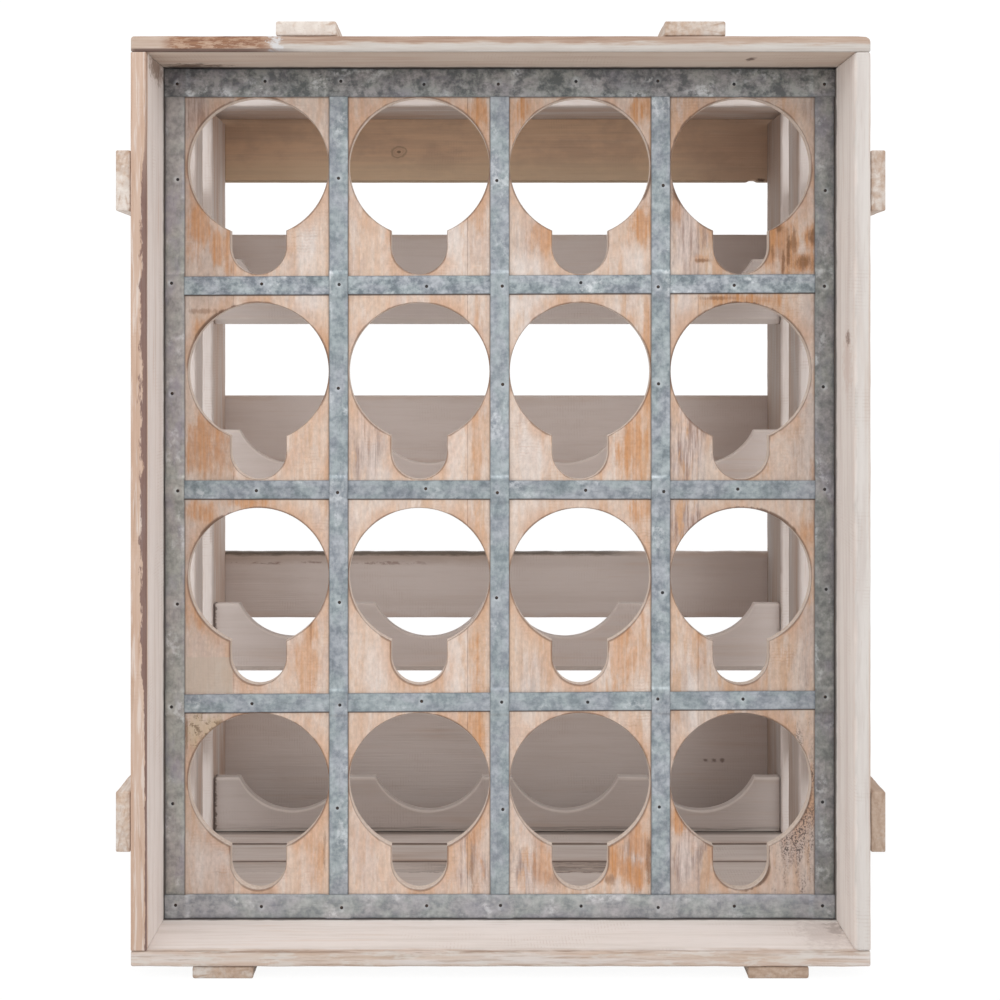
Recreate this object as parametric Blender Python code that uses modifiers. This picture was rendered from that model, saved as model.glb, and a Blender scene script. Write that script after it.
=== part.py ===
"""Wooden bottle crate: a slatted box that holds sixteen bottles lying down.

The walls, top, bottom and back are thin boards with gaps, tied together by outside battens. A panel of
butted boards with keyhole openings stands behind the mouth, trimmed with lapped zinc strips, and scalloped
cradles near the back carry the bottles' bodies.

Metres, +Z up, mouth towards -Y. The origin is on the ground, under the middle of the crate.
"""
import math

import bmesh
import bpy
from mathutils import Matrix

# Crate box
crate_width = 0.400
crate_height = 0.503
crate_depth = 0.300
board_thickness = 0.0085
edge_rounding = 0.0012
seat_gap = 0.0003
weld_distance = 0.00005

# Side walls: the middle board lies between the other two, its place and width as shares of that space
side_front_width = 0.132
left_middle_width_share = 0.29
left_middle_centre_share = 0.45
right_middle_width_share = 0.41
right_middle_centre_share = 0.53
cradle_board_margin = 0.004

# Top and bottom boards, front to back: the middle one has a share of the space left between the others
cap_front_width = 0.084
cap_rear_width = 0.084
top_middle_width_share = 0.38
bottom_narrow_width = 0.0395
bottom_middle_width_share = 0.99

# Back boards: the top and bottom ones are flush with the crate, the others at shares of the height between
back_top_width = 0.050
back_bottom_width = 0.088
back_middle_width = 0.047
back_centre_shares = (0.834, 0.522, 0.220)

# Battens outside, front to back
batten_width = 0.033
batten_end_inset = 0.001
side_batten_thickness = 0.0081
top_batten_thickness = 0.0080
foot_batten_thickness = 0.0066
side_batten_inset = 0.078
top_batten_inset = 0.0947
foot_batten_inset = 0.0496

# Keyhole panel, with its seams as shares of the column pitch, counted from the first column
panel_setback = 0.0548
plank_rounding = 0.0004
seam_shares = (-0.152, 1.300, 2.733)
hole_radius = 0.0402
hole_crown = 0.0391
slot_radius = 0.0159
slot_drop = 0.0619
floor_margin = 0.0163
ceiling_margin = 0.0167
side_margin = 0.0133
least_web = 0.012
least_rib = 0.0105
hole_arc_points = 34
slot_arc_points = 11
cutter_overrun = 0.004

# Zinc strips
strip_thickness = 0.0006
row_strip_height = 0.0107
row_strip_lips = (0.0006, 0.0004, 0.0042)
row_strip_rises = (0.0014, 0.0, 0.0022)
column_strip_width = 0.0109
side_strip_width = 0.0113
top_strip_height = 0.0163
bottom_strip_height = 0.0140
strip_tuck = 0.006
lap_margin = 0.0009
lap_ramp = 0.002

# Nails through the strips
nail_head_radius = 0.0012
nail_crown_radius = 0.0007
nail_head_height = 0.0006
nail_head_bite = 0.0001
nail_head_sides = 6
nail_wander = 0.0018

# Bottle cradles
cradle_to_back = 0.0472
cradle_height = 0.0458
scallop_radius = 0.040
scallop_depth = 0.0227
scallop_drop = 0.0021
top_cradle_cut = 0.0020
scallop_arc_points = 15
cradle_chamfer = 0.0036

# Places that follow from these sizes
half_width = crate_width / 2
front_y = -crate_depth / 2
base_z = foot_batten_thickness + seat_gap
top_z = base_z + crate_height
floor_z = base_z + board_thickness
ceiling_z = top_z - board_thickness
inner_half_width = half_width - board_thickness
wall_depth = crate_depth - board_thickness - seat_gap
panel_face_y = front_y + panel_setback
cradle_back_y = front_y + wall_depth - cradle_to_back
keyhole_height = hole_crown + slot_drop
lap_rise = strip_thickness + seat_gap

# Rows and columns of bottles: as many as fit with the least wood between them, spread evenly
row_room = ceiling_z - floor_z - floor_margin - ceiling_margin - keyhole_height
row_steps = int(row_room / (keyhole_height + least_web))
row_pitch = row_room / max(row_steps, 1)
column_room = 2 * (inner_half_width - side_margin - hole_radius)
column_steps = int(column_room / (2 * hole_radius + least_rib))
column_pitch = column_room / max(column_steps, 1)
slot_bottoms = [floor_z + floor_margin + row_pitch * step for step in range(row_steps, -1, -1)]
column_centres = [column_pitch * (step - column_steps / 2) for step in range(column_steps + 1)]

# Colours and finishes from the photograph
limewashed_wood = ((0.62, 0.52, 0.46), 0.75, 0.0)
panel_wood = ((0.68, 0.46, 0.31), 0.72, 0.0)
shaded_wood = ((0.52, 0.44, 0.39), 0.78, 0.0)
zinc_sheet = ((0.36, 0.41, 0.46), 0.42, 0.85)

quarter_turn = math.pi / 2
stand_up = Matrix.Rotation(quarter_turn, 4, "X")
lie_along = Matrix.Rotation(math.pi, 4, "X")
lie_upright = Matrix.Rotation(-quarter_turn, 4, "Y") @ lie_along


def new_collection(name):
    collection = bpy.data.collections.new(name)
    bpy.context.scene.collection.children.link(collection)
    return collection


def paint(piece, finish):
    """Gives a piece its own material, from a colour, a roughness and a metallic value."""
    colour, roughness, metallic = finish
    material = bpy.data.materials.new(piece.name)
    material.use_nodes = True
    shader = material.node_tree.nodes["Principled BSDF"]
    shader.inputs["Base Color"].default_value = (*colour, 1)
    shader.inputs["Roughness"].default_value = roughness
    shader.inputs["Metallic"].default_value = metallic
    piece.data.materials.append(material)


def board(name, low, high, finish, rounding=edge_rounding):
    """A board between two corners, with its edges eased."""
    size = [top - bottom for bottom, top in zip(low, high)]
    mesh = bpy.data.meshes.new(name)
    shape = bmesh.new()
    bmesh.ops.create_cube(shape, size=1)
    bmesh.ops.scale(shape, vec=size, verts=shape.verts)
    shape.to_mesh(mesh)
    shape.free()
    piece = bpy.data.objects.new(name, mesh)
    piece.location = [(bottom + top) / 2 for bottom, top in zip(low, high)]
    crate.objects.link(piece)
    eased = piece.modifiers.new("eased edges", "BEVEL")
    eased.width = rounding
    eased.segments = 1
    eased.limit_method = "NONE"
    paint(piece, finish)
    return piece


def cut_sheet(name, outlines, thickness):
    """The mesh of flat outlines cut from sheet: closed 2D curves, filled and extruded."""
    curve = bpy.data.curves.new(name, "CURVE")
    curve.dimensions = "2D"
    curve.fill_mode = "BOTH"
    curve.extrude = thickness / 2
    for outline in outlines:
        spline = curve.splines.new("POLY")
        spline.points.add(len(outline) - 1)
        spline.use_cyclic_u = True
        for point, (across, up) in zip(spline.points, outline):
            point.co = (across, up, 0, 1)
    guide = bpy.data.objects.new(name, curve)
    bpy.context.scene.collection.objects.link(guide)
    evaluated = guide.evaluated_get(bpy.context.evaluated_depsgraph_get())
    mesh = bpy.data.meshes.new_from_object(evaluated)
    mesh.name = name
    bpy.data.objects.remove(guide)
    shape = bmesh.new()
    shape.from_mesh(mesh)
    bmesh.ops.remove_doubles(shape, verts=shape.verts, dist=weld_distance)
    shape.to_mesh(mesh)
    shape.free()
    return mesh


def arc(centre, radius, first, last, count):
    """Points along an arc, both ends included, with the angles counted from +X."""
    turns = [first + (last - first) * step / (count - 1) for step in range(count)]
    return [(centre[0] + radius * math.cos(turn), centre[1] + radius * math.sin(turn)) for turn in turns]


def side_wall_spans(width_share, centre_share):
    """Start and width of a side wall's three boards, measured back from the mouth."""
    rear_width = cradle_to_back + board_thickness + cradle_board_margin
    room = wall_depth - side_front_width - rear_width
    middle_width = room * width_share
    middle_start = side_front_width + room * centre_share - middle_width / 2
    return {
        "front": (0, side_front_width),
        "middle": (middle_start, middle_width),
        "rear": (wall_depth - rear_width, rear_width),
    }


def build_side_walls():
    """The boards of the left and right walls, standing between the top and bottom boards."""
    walls = {
        "left": (-half_width, left_middle_width_share, left_middle_centre_share),
        "right": (inner_half_width, right_middle_width_share, right_middle_centre_share),
    }
    for side, (low_x, width_share, centre_share) in walls.items():
        for place, (start, width) in side_wall_spans(width_share, centre_share).items():
            low = (low_x, front_y + start, floor_z + seat_gap)
            high = (low_x + board_thickness, front_y + start + width, ceiling_z - seat_gap)
            board(f"{side}_board_{place}", low, high, limewashed_wood)


def build_caps():
    """The boards of the top and the bottom, over the ends of the side boards; the bottom has four."""
    rear_start = wall_depth - cap_rear_width
    narrow_start = rear_start - seat_gap - bottom_narrow_width
    caps = {
        "top": (ceiling_z, rear_start, top_middle_width_share),
        "bottom": (base_z, narrow_start, bottom_middle_width_share),
    }
    for level, (low_z, middle_limit, width_share) in caps.items():
        room = middle_limit - cap_front_width
        middle_width = room * width_share
        spans = {
            "front": (0, cap_front_width),
            "middle": (cap_front_width + (room - middle_width) / 2, middle_width),
            "rear": (rear_start, cap_rear_width),
        }
        if level == "bottom":
            spans["narrow"] = (narrow_start, bottom_narrow_width)
        for place, (start, width) in spans.items():
            low = (-half_width, front_y + start, low_z)
            high = (half_width, front_y + start + width, low_z + board_thickness)
            board(f"{level}_board_{place}", low, high, limewashed_wood)


def build_back():
    """The five boards nailed across the back edges of the walls, from the top down."""
    room = crate_height - back_top_width - back_bottom_width
    spans = [(top_z - back_top_width, back_top_width)]
    for share in back_centre_shares:
        centre = base_z + back_bottom_width + room * share
        spans.append((centre - back_middle_width / 2, back_middle_width))
    spans.append((base_z, back_bottom_width))
    for number, (low_z, width) in enumerate(spans, 1):
        low = (-half_width, front_y + crate_depth - board_thickness, low_z)
        high = (half_width, front_y + crate_depth, low_z + width)
        board(f"back_board_{number}", low, high, shaded_wood)


def build_battens():
    """Two battens outside each wall, from front to back; the lower ones are the feet."""
    low_y = front_y + batten_end_inset
    high_y = front_y + crate_depth - batten_end_inset
    half_batten = batten_width / 2
    for side, turn in (("left", -1), ("right", 1)):
        near = turn * (half_width + seat_gap)
        far = near + turn * side_batten_thickness
        for level, centre_z in (("upper", top_z - side_batten_inset), ("lower", base_z + side_batten_inset)):
            low = (min(near, far), low_y, centre_z - half_batten)
            high = (max(near, far), high_y, centre_z + half_batten)
            board(f"{side}_batten_{level}", low, high, limewashed_wood)
    for side, turn in (("left", -1), ("right", 1)):
        top_x = turn * (half_width - top_batten_inset)
        foot_x = turn * (half_width - foot_batten_inset)
        low_z = top_z + seat_gap
        low = (top_x - half_batten, low_y, low_z)
        high = (top_x + half_batten, high_y, low_z + top_batten_thickness)
        board(f"top_batten_{side}", low, high, limewashed_wood)
        low = (foot_x - half_batten, low_y, 0)
        high = (foot_x + half_batten, high_y, foot_batten_thickness)
        board(f"foot_batten_{side}", low, high, limewashed_wood)


def keyhole_outline(centre_x, slot_bottom):
    """A round hole, a little flat at its crown, that opens into a round-ended slot for a bottle's neck."""
    hole_centre = (centre_x, slot_bottom + slot_drop)
    slot_centre = (centre_x, slot_bottom + slot_radius)
    corner = math.asin(slot_radius / hole_radius) - quarter_turn
    circle = arc(hole_centre, hole_radius, corner, math.pi - corner, hole_arc_points)
    flatten = hole_crown / hole_radius
    middle_z = hole_centre[1]
    rim = [(x, z if z < middle_z else middle_z + (z - middle_z) * flatten) for x, z in circle]
    slot = arc(slot_centre, slot_radius, math.pi, 2 * math.pi, slot_arc_points)
    return rim + slot


def build_panel():
    """Upright boards butted edge to edge, cut by one pattern of keyholes that ignores their seams."""
    outlines = [keyhole_outline(x, z) for z in slot_bottoms for x in column_centres]
    mesh = cut_sheet("keyholes", outlines, board_thickness + cutter_overrun)
    cutter = bpy.data.objects.new("keyholes", mesh)
    cutter.matrix_world = Matrix.Translation((0, panel_face_y + board_thickness / 2, 0)) @ stand_up
    cutter.hide_render = True
    cutter.display_type = "WIRE"
    cutters.objects.link(cutter)

    seams = [column_centres[0] + column_pitch * share for share in seam_shares]
    edges = [-inner_half_width, *(seam for seam in seams if seam < column_centres[-1]), inner_half_width]
    for number, (left, right) in enumerate(zip(edges, edges[1:]), 1):
        low = (left + seat_gap / 2, panel_face_y, floor_z + seat_gap)
        high = (right - seat_gap / 2, panel_face_y + board_thickness, ceiling_z - seat_gap)
        plank = board(f"panel_plank_{number}", low, high, panel_wood, plank_rounding)
        keyholes = plank.modifiers.new("keyholes", "BOOLEAN")
        keyholes.operation = "DIFFERENCE"
        keyholes.object = cutter


def lapped_strip(name, length, width, crossings, middles, place, turn):
    """A flat strip that steps up over each crossing strip, nailed there and at the middles between.

    A crossing is its centre and half width along this strip. In the strip's own frame +X runs along it and
    +Y away from the panel.
    """
    half_length = length / 2
    path = [(-half_length, 0)]
    for centre, half_span in crossings:
        start = centre - half_span
        end = centre + half_span
        if start - lap_ramp > -half_length:
            path += [(start - lap_ramp, 0), (start, lap_rise)]
        else:
            path = [(-half_length, lap_rise)]
        if end + lap_ramp < half_length:
            path += [(end, lap_rise), (end + lap_ramp, 0)]
        else:
            path += [(half_length, lap_rise)]
    if path[-1][0] < half_length:
        path.append((half_length, 0))
    outer = [(along, height + strip_thickness) for along, height in reversed(path)]
    strip = bpy.data.objects.new(name, cut_sheet(name, [path + outer], width))
    strip.matrix_world = Matrix.Translation(place) @ turn
    crate.objects.link(strip)
    paint(strip, zinc_sheet)

    seats = [(centre, lap_rise + strip_thickness) for centre, _ in crossings]
    seats += [(middle, strip_thickness) for middle in middles]
    heads = bpy.data.objects.new(f"{name}_nails", nail_heads(f"{name}_nails", seats))
    heads.matrix_world = strip.matrix_world
    heads.hide_render = True
    heads.display_type = "WIRE"
    cutters.objects.link(heads)
    driven = strip.modifiers.new("nail heads", "BOOLEAN")
    driven.operation = "UNION"
    driven.object = heads


def nail_heads(name, seats):
    """Low crowned heads sunk a little into the strip, each a little off its mark as a hand drives it."""
    shape = bmesh.new()
    for number, (along, height) in enumerate(seats):
        astray = nail_wander * math.sin(5 * number + 7 * len(crate.objects))
        aside = nail_wander * math.cos(3 * number + 2 * len(crate.objects)) / 2
        middle = (along + astray, height + nail_head_height / 2 - nail_head_bite, aside)
        bmesh.ops.create_cone(
            shape,
            cap_ends=True,
            segments=nail_head_sides,
            radius1=nail_head_radius,
            radius2=nail_crown_radius,
            depth=nail_head_height,
            matrix=Matrix.Translation(middle) @ Matrix.Rotation(-quarter_turn, 4, "X"),
        )
    mesh = bpy.data.meshes.new(name)
    shape.to_mesh(mesh)
    shape.free()
    return mesh


def row_strip_sizes():
    """Middle height and slope of each row strip, just under the slots of every row but the lowest."""
    rows = []
    for number, slot_bottom in enumerate(slot_bottoms[:-1]):
        lip = row_strip_lips[number % len(row_strip_lips)]
        rise = row_strip_rises[number % len(row_strip_rises)]
        rows.append((slot_bottom - lip - row_strip_height / 2, rise / (2 * inner_half_width)))
    return rows


def build_strips():
    """Rows first, then columns and sides over them, then top and bottom over the ends of the uprights."""
    strip_y = panel_face_y - seat_gap
    row_length = 2 * (inner_half_width - seat_gap)
    rows = row_strip_sizes()
    for number, (height, slope) in enumerate(rows, 1):
        name = f"strip_row_{number}"
        tilt = Matrix.Rotation(-math.atan(slope), 4, "Y") @ lie_along
        lapped_strip(name, row_length, row_strip_height, [], column_centres, (0, strip_y, height), tilt)

    side_x = inner_half_width - seat_gap - side_strip_width / 2
    uprights = [("strip_left", -side_x, side_strip_width)]
    for number, (left, right) in enumerate(zip(column_centres, column_centres[1:]), 1):
        uprights.append((f"strip_column_{number}", (left + right) / 2, column_strip_width))
    uprights.append(("strip_right", side_x, side_strip_width))

    low_z = floor_z + seat_gap + bottom_strip_height - strip_tuck
    high_z = ceiling_z - seat_gap - top_strip_height + strip_tuck
    middle_z = (low_z + high_z) / 2
    row_half_span = row_strip_height / 2 + lap_margin
    cell_middles = [slot_bottom + keyhole_height / 2 - middle_z for slot_bottom in slot_bottoms]
    for name, x, width in uprights:
        crossings = [(height + slope * x - middle_z, row_half_span) for height, slope in reversed(rows)]
        place = (x, strip_y, middle_z)
        lapped_strip(name, high_z - low_z, width, crossings, cell_middles, place, lie_upright)

    crossings = [(x, width / 2 + lap_margin) for _, x, width in uprights]
    top_place = (0, strip_y, ceiling_z - seat_gap - top_strip_height / 2)
    lapped_strip("strip_top", row_length, top_strip_height, crossings, column_centres, top_place, lie_along)
    bottom_place = (0, strip_y, floor_z + seat_gap + bottom_strip_height / 2)
    lapped_strip(
        "strip_bottom", row_length, bottom_strip_height, crossings, column_centres, bottom_place, lie_along
    )


def cradle_outline(tab_top, depth):
    """A board as wide as the inside with a scallop under each bottle, its heights from the board's foot."""
    half_length = inner_half_width - seat_gap
    scallop_height = tab_top - depth + scallop_radius
    dip = math.asin((scallop_radius - depth) / scallop_radius)
    outline = [(-half_length, 0), (half_length, 0), (half_length, tab_top)]
    for centre_x in reversed(column_centres):
        outline += arc((centre_x, scallop_height), scallop_radius, -dip, dip - math.pi, scallop_arc_points)
    outline.append((-half_length, tab_top))
    return outline


def build_cradles():
    """Boards scalloped a little below the slots; all but the one on the floor have a chamfered foot."""
    foot = floor_z + seat_gap
    for number, slot_bottom in enumerate(slot_bottoms, 1):
        lowered = top_cradle_cut if number == 1 else 0
        tab_top = slot_bottom - scallop_drop + scallop_depth - lowered
        bottom = max(tab_top + lowered - cradle_height, foot)
        name = f"bottle_cradle_{number}"
        mesh = cut_sheet(name, [cradle_outline(tab_top - bottom, scallop_depth - lowered)], board_thickness)
        if bottom > foot:
            chamfer_lower_front(mesh)
        cradle = bpy.data.objects.new(name, mesh)
        cradle.matrix_world = Matrix.Translation((0, cradle_back_y - board_thickness / 2, bottom)) @ stand_up
        crate.objects.link(cradle)
        paint(cradle, shaded_wood)


def chamfer_lower_front(mesh):
    """Planes off the long edge at the foot of a cradle's front face."""
    shape = bmesh.new()
    shape.from_mesh(mesh)
    edges = [
        edge for edge in shape.edges
        if all(vert.co.y < weld_distance and vert.co.z > 0 for vert in edge.verts)
    ]
    bmesh.ops.bevel(shape, geom=edges, offset=cradle_chamfer, segments=1, affect="EDGES")
    shape.to_mesh(mesh)
    shape.free()


for old in list(bpy.data.objects):
    bpy.data.objects.remove(old)

crate = new_collection("bottle_crate")
cutters = new_collection("cutters")

build_side_walls()
build_caps()
build_back()
build_battens()
build_panel()
build_strips()
build_cradles()
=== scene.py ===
"""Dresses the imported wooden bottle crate: limewashed boards, a keyhole panel trimmed with zinc, and cradles.

Every board is one profile carried along its length, and every strip one sheet worked out over a grid.
"""

import bpy
import numpy as np
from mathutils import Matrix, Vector


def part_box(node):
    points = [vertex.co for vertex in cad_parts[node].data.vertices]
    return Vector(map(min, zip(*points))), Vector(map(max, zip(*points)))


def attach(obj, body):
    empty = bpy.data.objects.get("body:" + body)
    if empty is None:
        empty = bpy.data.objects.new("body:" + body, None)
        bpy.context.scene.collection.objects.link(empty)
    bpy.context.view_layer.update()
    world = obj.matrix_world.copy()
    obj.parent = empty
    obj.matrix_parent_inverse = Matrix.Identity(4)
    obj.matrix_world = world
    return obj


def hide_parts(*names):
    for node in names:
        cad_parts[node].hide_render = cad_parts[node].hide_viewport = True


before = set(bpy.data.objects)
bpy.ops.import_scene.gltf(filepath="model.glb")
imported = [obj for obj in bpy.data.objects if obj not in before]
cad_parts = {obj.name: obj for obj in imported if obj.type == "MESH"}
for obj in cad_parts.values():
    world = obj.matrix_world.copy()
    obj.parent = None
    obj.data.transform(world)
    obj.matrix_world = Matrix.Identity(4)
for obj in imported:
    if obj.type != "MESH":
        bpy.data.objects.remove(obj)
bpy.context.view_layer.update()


# Side walls
# Three sawn softwood boards on each side, brushed with thin limewash and rubbed back, so that peach wood and
# grey grain show through. They stand between the top and bottom boards and are nailed through those.

station_step = 0.0045
face_step = 0.0065
edge_easing = 0.0011
corner_points = 4
end_rounds = 4
flush = 0.0001
wear_share = 0.55
wear_length = 0.05
least_radius = 0.0002
least_end_radius = 0.00012
mouth_band = 0.0019
mouth_fade = 0.0010
edge_fade = 0.0016
grain_shift = np.array([0.731, 0, 0])


def ripple(places, seed, longest):
    """An uneven line: five sine waves, each 1.8 times shorter and 1.45 times lower than the last."""
    chance = np.random.default_rng(seed)
    steps = np.arange(5)[:, None]
    phases = chance.random((5, 1)) * 2 * np.pi
    waves = np.sin(2 * np.pi * places[None, :] * 1.8**steps / longest + phases) / 1.45**steps
    return waves.sum(axis=0) / 2.4


def board_section(across_low, across_high, through_half, radii, chamfered, between):
    """The rounded outline of a board at every station, with how far each point lies from a long edge.

    Each corner is a quarter circle round its own centre, or a straight line where it is chamfered, and the
    flat sides between are points spaced evenly from one corner to the next.
    """
    corners = []
    for number, (side, face) in enumerate(((1, 1), (-1, 1), (-1, -1), (1, -1))):
        turns = np.linspace(number, number + 1, corner_points) * np.pi / 2
        reach = np.stack([np.cos(turns), np.sin(turns)], axis=1)
        if number in chamfered:
            reach = reach / np.abs(reach).sum(axis=1, keepdims=True)
        radius = radii[number]
        edge = across_high if side > 0 else across_low
        centre = np.stack([edge - side * radius, face * (through_half - radius)], axis=1)
        corners.append(centre[:, None, :] + radius[:, None, None] * reach[None, :, :])
    rings, nearness = [], []
    for number, count in enumerate(between):
        start, end = corners[number], corners[(number + 1) % 4]
        shares = (np.arange(count) + 1) / (count + 1)
        flat = start[:, -1:, :] * (1 - shares[None, :, None]) + end[:, :1, :] * shares[None, :, None]
        run = np.linalg.norm(end[:, 0] - start[:, -1], axis=1)[:, None]
        rings += [start, flat]
        nearness += [np.zeros(start.shape[:2]), run * np.minimum(shares, 1 - shares)[None, :]]
    return np.concatenate(rings, axis=1), np.concatenate(nearness, axis=1)


def tube_faces(stations, ring):
    """Quads between neighbouring rings of a closed tube, and a fan of triangles over each end."""
    lower = np.arange(stations - 1)[:, None] * ring + np.arange(ring)[None, :]
    after = np.arange(stations - 1)[:, None] * ring + (np.arange(ring)[None, :] + 1) % ring
    sides = np.stack([lower, after, after + ring, lower + ring], axis=-1).reshape(-1, 4)
    around = np.arange(ring)
    follow = (around + 1) % ring
    last_ring = (stations - 1) * ring
    start = np.stack([np.full(ring, stations * ring), follow, around], axis=1)
    end = np.stack([np.full(ring, stations * ring + 1), around + last_ring, follow + last_ring], axis=1)
    return sides, np.concatenate([start, end])


def make_piece(name, points, faces, material, sharp=40):
    """A mesh object at the origin from points and arrays of faces, shaded smooth up to an angle."""
    mesh = bpy.data.meshes.new(name)
    mesh.from_pydata(points.tolist(), [], [face for part in faces for face in part.tolist()])
    mesh.shade_smooth()
    mesh.set_sharp_from_angle(angle=np.radians(sharp))
    mesh.materials.append(material)
    piece = bpy.data.objects.new(name, mesh)
    bpy.context.scene.collection.objects.link(piece)
    return piece


def write_attribute(piece, name, values):
    """Stores one number, or one vector, for each point of a piece, for its material to read."""
    kind, field = ("FLOAT", "value") if values.ndim == 1 else ("FLOAT_VECTOR", "vector")
    layer = piece.data.attributes.new(name, kind, "POINT")
    layer.data.foreach_set(field, np.ascontiguousarray(values, dtype=np.float32).ravel())


def board_mesh(node, material, seed, look, easing, top_line=None, extra_stations=(), chamfered=(),
               corner_sizes=(1, 1, 1, 1), mouth_tone=1.0, reshape=None, shrink=0.0, spacing=station_step):
    """One board: a rounded section carried along the grain, and rounded over at both ends.

    look is its tone, the share of bare wood on its faces and the share on its mouth edge, where the tone is
    multiplied by the mouth factor: over 1 this is a painted highlight on an inner board's front edge, which
    faces the lamps, and under 1 it gives a worn rim a darker colour. top_line gives the height of its upper
    edge along it, where that isn't straight, and reshape moves its points. Wear makes the rounding of each edge
    uneven.
    """
    low, high = (np.array(corner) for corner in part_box(node))
    low, high = low + shrink, high - shrink
    along, across, through = np.argsort(low - high, kind="stable")
    length, width, thickness = (high - low)[[along, across, through]]
    rounds = easing * (1 - np.cos(np.linspace(0, np.pi / 2, end_rounds)))
    middle = np.arange(easing * 1.5, length - easing * 1.5, spacing)
    places = np.unique(np.concatenate([rounds, middle, length - rounds, np.array(extra_stations)]))
    end_gap = np.clip(np.minimum(places, length - places), 0, easing)
    inset = easing - np.sqrt(easing**2 - (easing - end_gap) ** 2)
    radii = []
    for corner, size in enumerate(corner_sizes):
        uneven = 0.0 if corner in chamfered else wear_share
        wear = np.clip(1 + uneven * ripple(places, seed * 11 + corner, wear_length), 0.35, 1.8)
        radius = np.clip(easing * size * wear, least_radius, thickness * 0.48)
        radii.append(np.maximum(radius - inset, least_end_radius))
    upper = np.full(len(places), width / 2) if top_line is None else top_line(places) - width / 2
    face_points = max(3, round(width / face_step))
    ring, nearness = board_section(
        inset - width / 2, upper - inset, thickness / 2 - inset, radii, chamfered, (face_points, 3) * 2
    )
    stations, count = ring.shape[:2]

    local = np.zeros((stations * count + 2, 3))
    local[:-2, 0] = np.repeat(places, count)
    local[:-2, 1:] = ring.reshape(-1, 2)
    local[-1, 0] = length
    local[-2:, 1] = (upper[[0, -1]] - width / 2) / 2
    points = np.zeros_like(local)
    points[:, along] = low[along] + local[:, 0]
    points[:, across] = (low + high)[across] / 2 + local[:, 1]
    points[:, through] = (low + high)[through] / 2 + local[:, 2]
    faces = tube_faces(stations, count)
    if (across - along) % 3 != 1:
        faces = [part[:, ::-1] for part in faces]
    if reshape is not None:
        points = reshape(points)
    piece = make_piece(f"{node}_dressed", points, faces, material)

    tone, bare, mouth_bare = look
    at_mouth = np.clip((low[1] + mouth_band - points[:, 1]) / mouth_fade, 0, 1) * (through != 1)
    bareness = bare + (mouth_bare - bare) * at_mouth
    # A mouth factor over 1 is a painted highlight on the front edge; under 1 it darkens a worn rim's colour.
    tones = tone * (1 + (mouth_tone - 1) * at_mouth)
    spared = at_mouth * (1 - min(1, 4 * mouth_bare))
    near_edge = np.append(np.exp(-nearness.reshape(-1) / edge_fade), [0.4, 0.4])
    write_attribute(piece, "grain", local + grain_shift * seed)
    write_attribute(piece, "edge", near_edge * (1 - spared))
    write_attribute(piece, "look", np.stack([tones, bareness, np.zeros(len(points))], axis=1))
    return piece


def finish_piece(piece, node):
    """Hands a piece to the frame: it rides on the crate's one body and stands for a CAD node."""
    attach(piece, "root")
    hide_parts(node)


def dress_board(node, material, seed, look, easing=edge_easing, **shape):
    """Makes a board over its solid and hands it to the frame."""
    finish_piece(board_mesh(node, material, seed, look, easing, **shape), node)


class Signal:
    """One output of a shader node. Arithmetic on it adds Math nodes to the same node tree."""

    def __init__(self, socket):
        self.socket = socket
        self.tree = socket.id_data

    def __add__(self, other):
        return work("ADD", self, other)

    def __sub__(self, other):
        return work("SUBTRACT", self, other)

    def __rsub__(self, other):
        return work("SUBTRACT", other, self)

    def __mul__(self, other):
        return work("MULTIPLY", self, other)

    def __truediv__(self, other):
        return work("DIVIDE", self, other)

    def __mod__(self, other):
        return work("MODULO", self, other)

    def __abs__(self):
        return work("ABSOLUTE", self)


def tree_of(*values):
    """The node tree of the first signal among some values."""
    return next(value.tree for value in values if isinstance(value, Signal))


def send(signal, target):
    """Links a signal to a node's input."""
    signal.tree.links.new(signal.socket, target)


def connect(made, inputs):
    """Fills a node's inputs: a signal is linked, and any other value is set."""
    for name, value in inputs.items():
        if isinstance(value, Signal):
            send(value, made.inputs[name])
        else:
            made.inputs[name].default_value = value


def add(tree, kind, output, inputs=None, **settings):
    """Adds a shader node and gives one of its outputs."""
    made = tree.nodes.new(kind)
    for name, value in settings.items():
        setattr(made, name, value)
    connect(made, inputs or {})
    return Signal(made.outputs[output])


def work(operation, first, second=0.0, third=0.0):
    """A sum done by one Math node."""
    inputs = {0: first, 1: second, 2: third}
    return add(tree_of(first, second, third), "ShaderNodeMath", 0, inputs, operation=operation)


def times_add(first, second, third):
    """First times second, plus third."""
    return work("MULTIPLY_ADD", first, second, third)


def blend(share, first, second, way="MIX"):
    """Two colours mixed by a share from 0, the first, to 1, the second."""
    first, second = ((*shade, 1) if isinstance(shade, tuple) else shade for shade in (first, second))
    inputs = {0: share, 6: first, 7: second}
    return add(tree_of(share, first, second), "ShaderNodeMix", 2, inputs, data_type="RGBA", blend_type=way)


def ramp(value, start, end, low=0.0, high=1.0):
    """A smooth step: low where the value is under start, high where it is over end."""
    inputs = {"Value": value, "From Min": start, "From Max": end, "To Min": low, "To Max": high}
    return add(value.tree, "ShaderNodeMapRange", 0, inputs, interpolation_type="SMOOTHSTEP")


def vector_work(operation, first, second=(0, 0, 0), output=0):
    """A sum done by one Vector Math node."""
    return add(first.tree, "ShaderNodeVectorMath", output, {0: first, 1: second}, operation=operation)


def cloud(vector, stretch, detail=2.0, roughness=0.5, distortion=0.0):
    """Noise whose cells are about 1 / stretch metres along, across and through."""
    scaled = vector_work("MULTIPLY", vector, stretch)
    inputs = {"Vector": scaled, "Scale": 1.0, "Detail": detail, "Roughness": roughness}
    return add(vector.tree, "ShaderNodeTexNoise", "Fac", {**inputs, "Distortion": distortion})


def parts(vector):
    """The x, y and z of a vector."""
    made = vector.tree.nodes.new("ShaderNodeSeparateXYZ")
    send(vector, made.inputs[0])
    return [Signal(output) for output in made.outputs]


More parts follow.
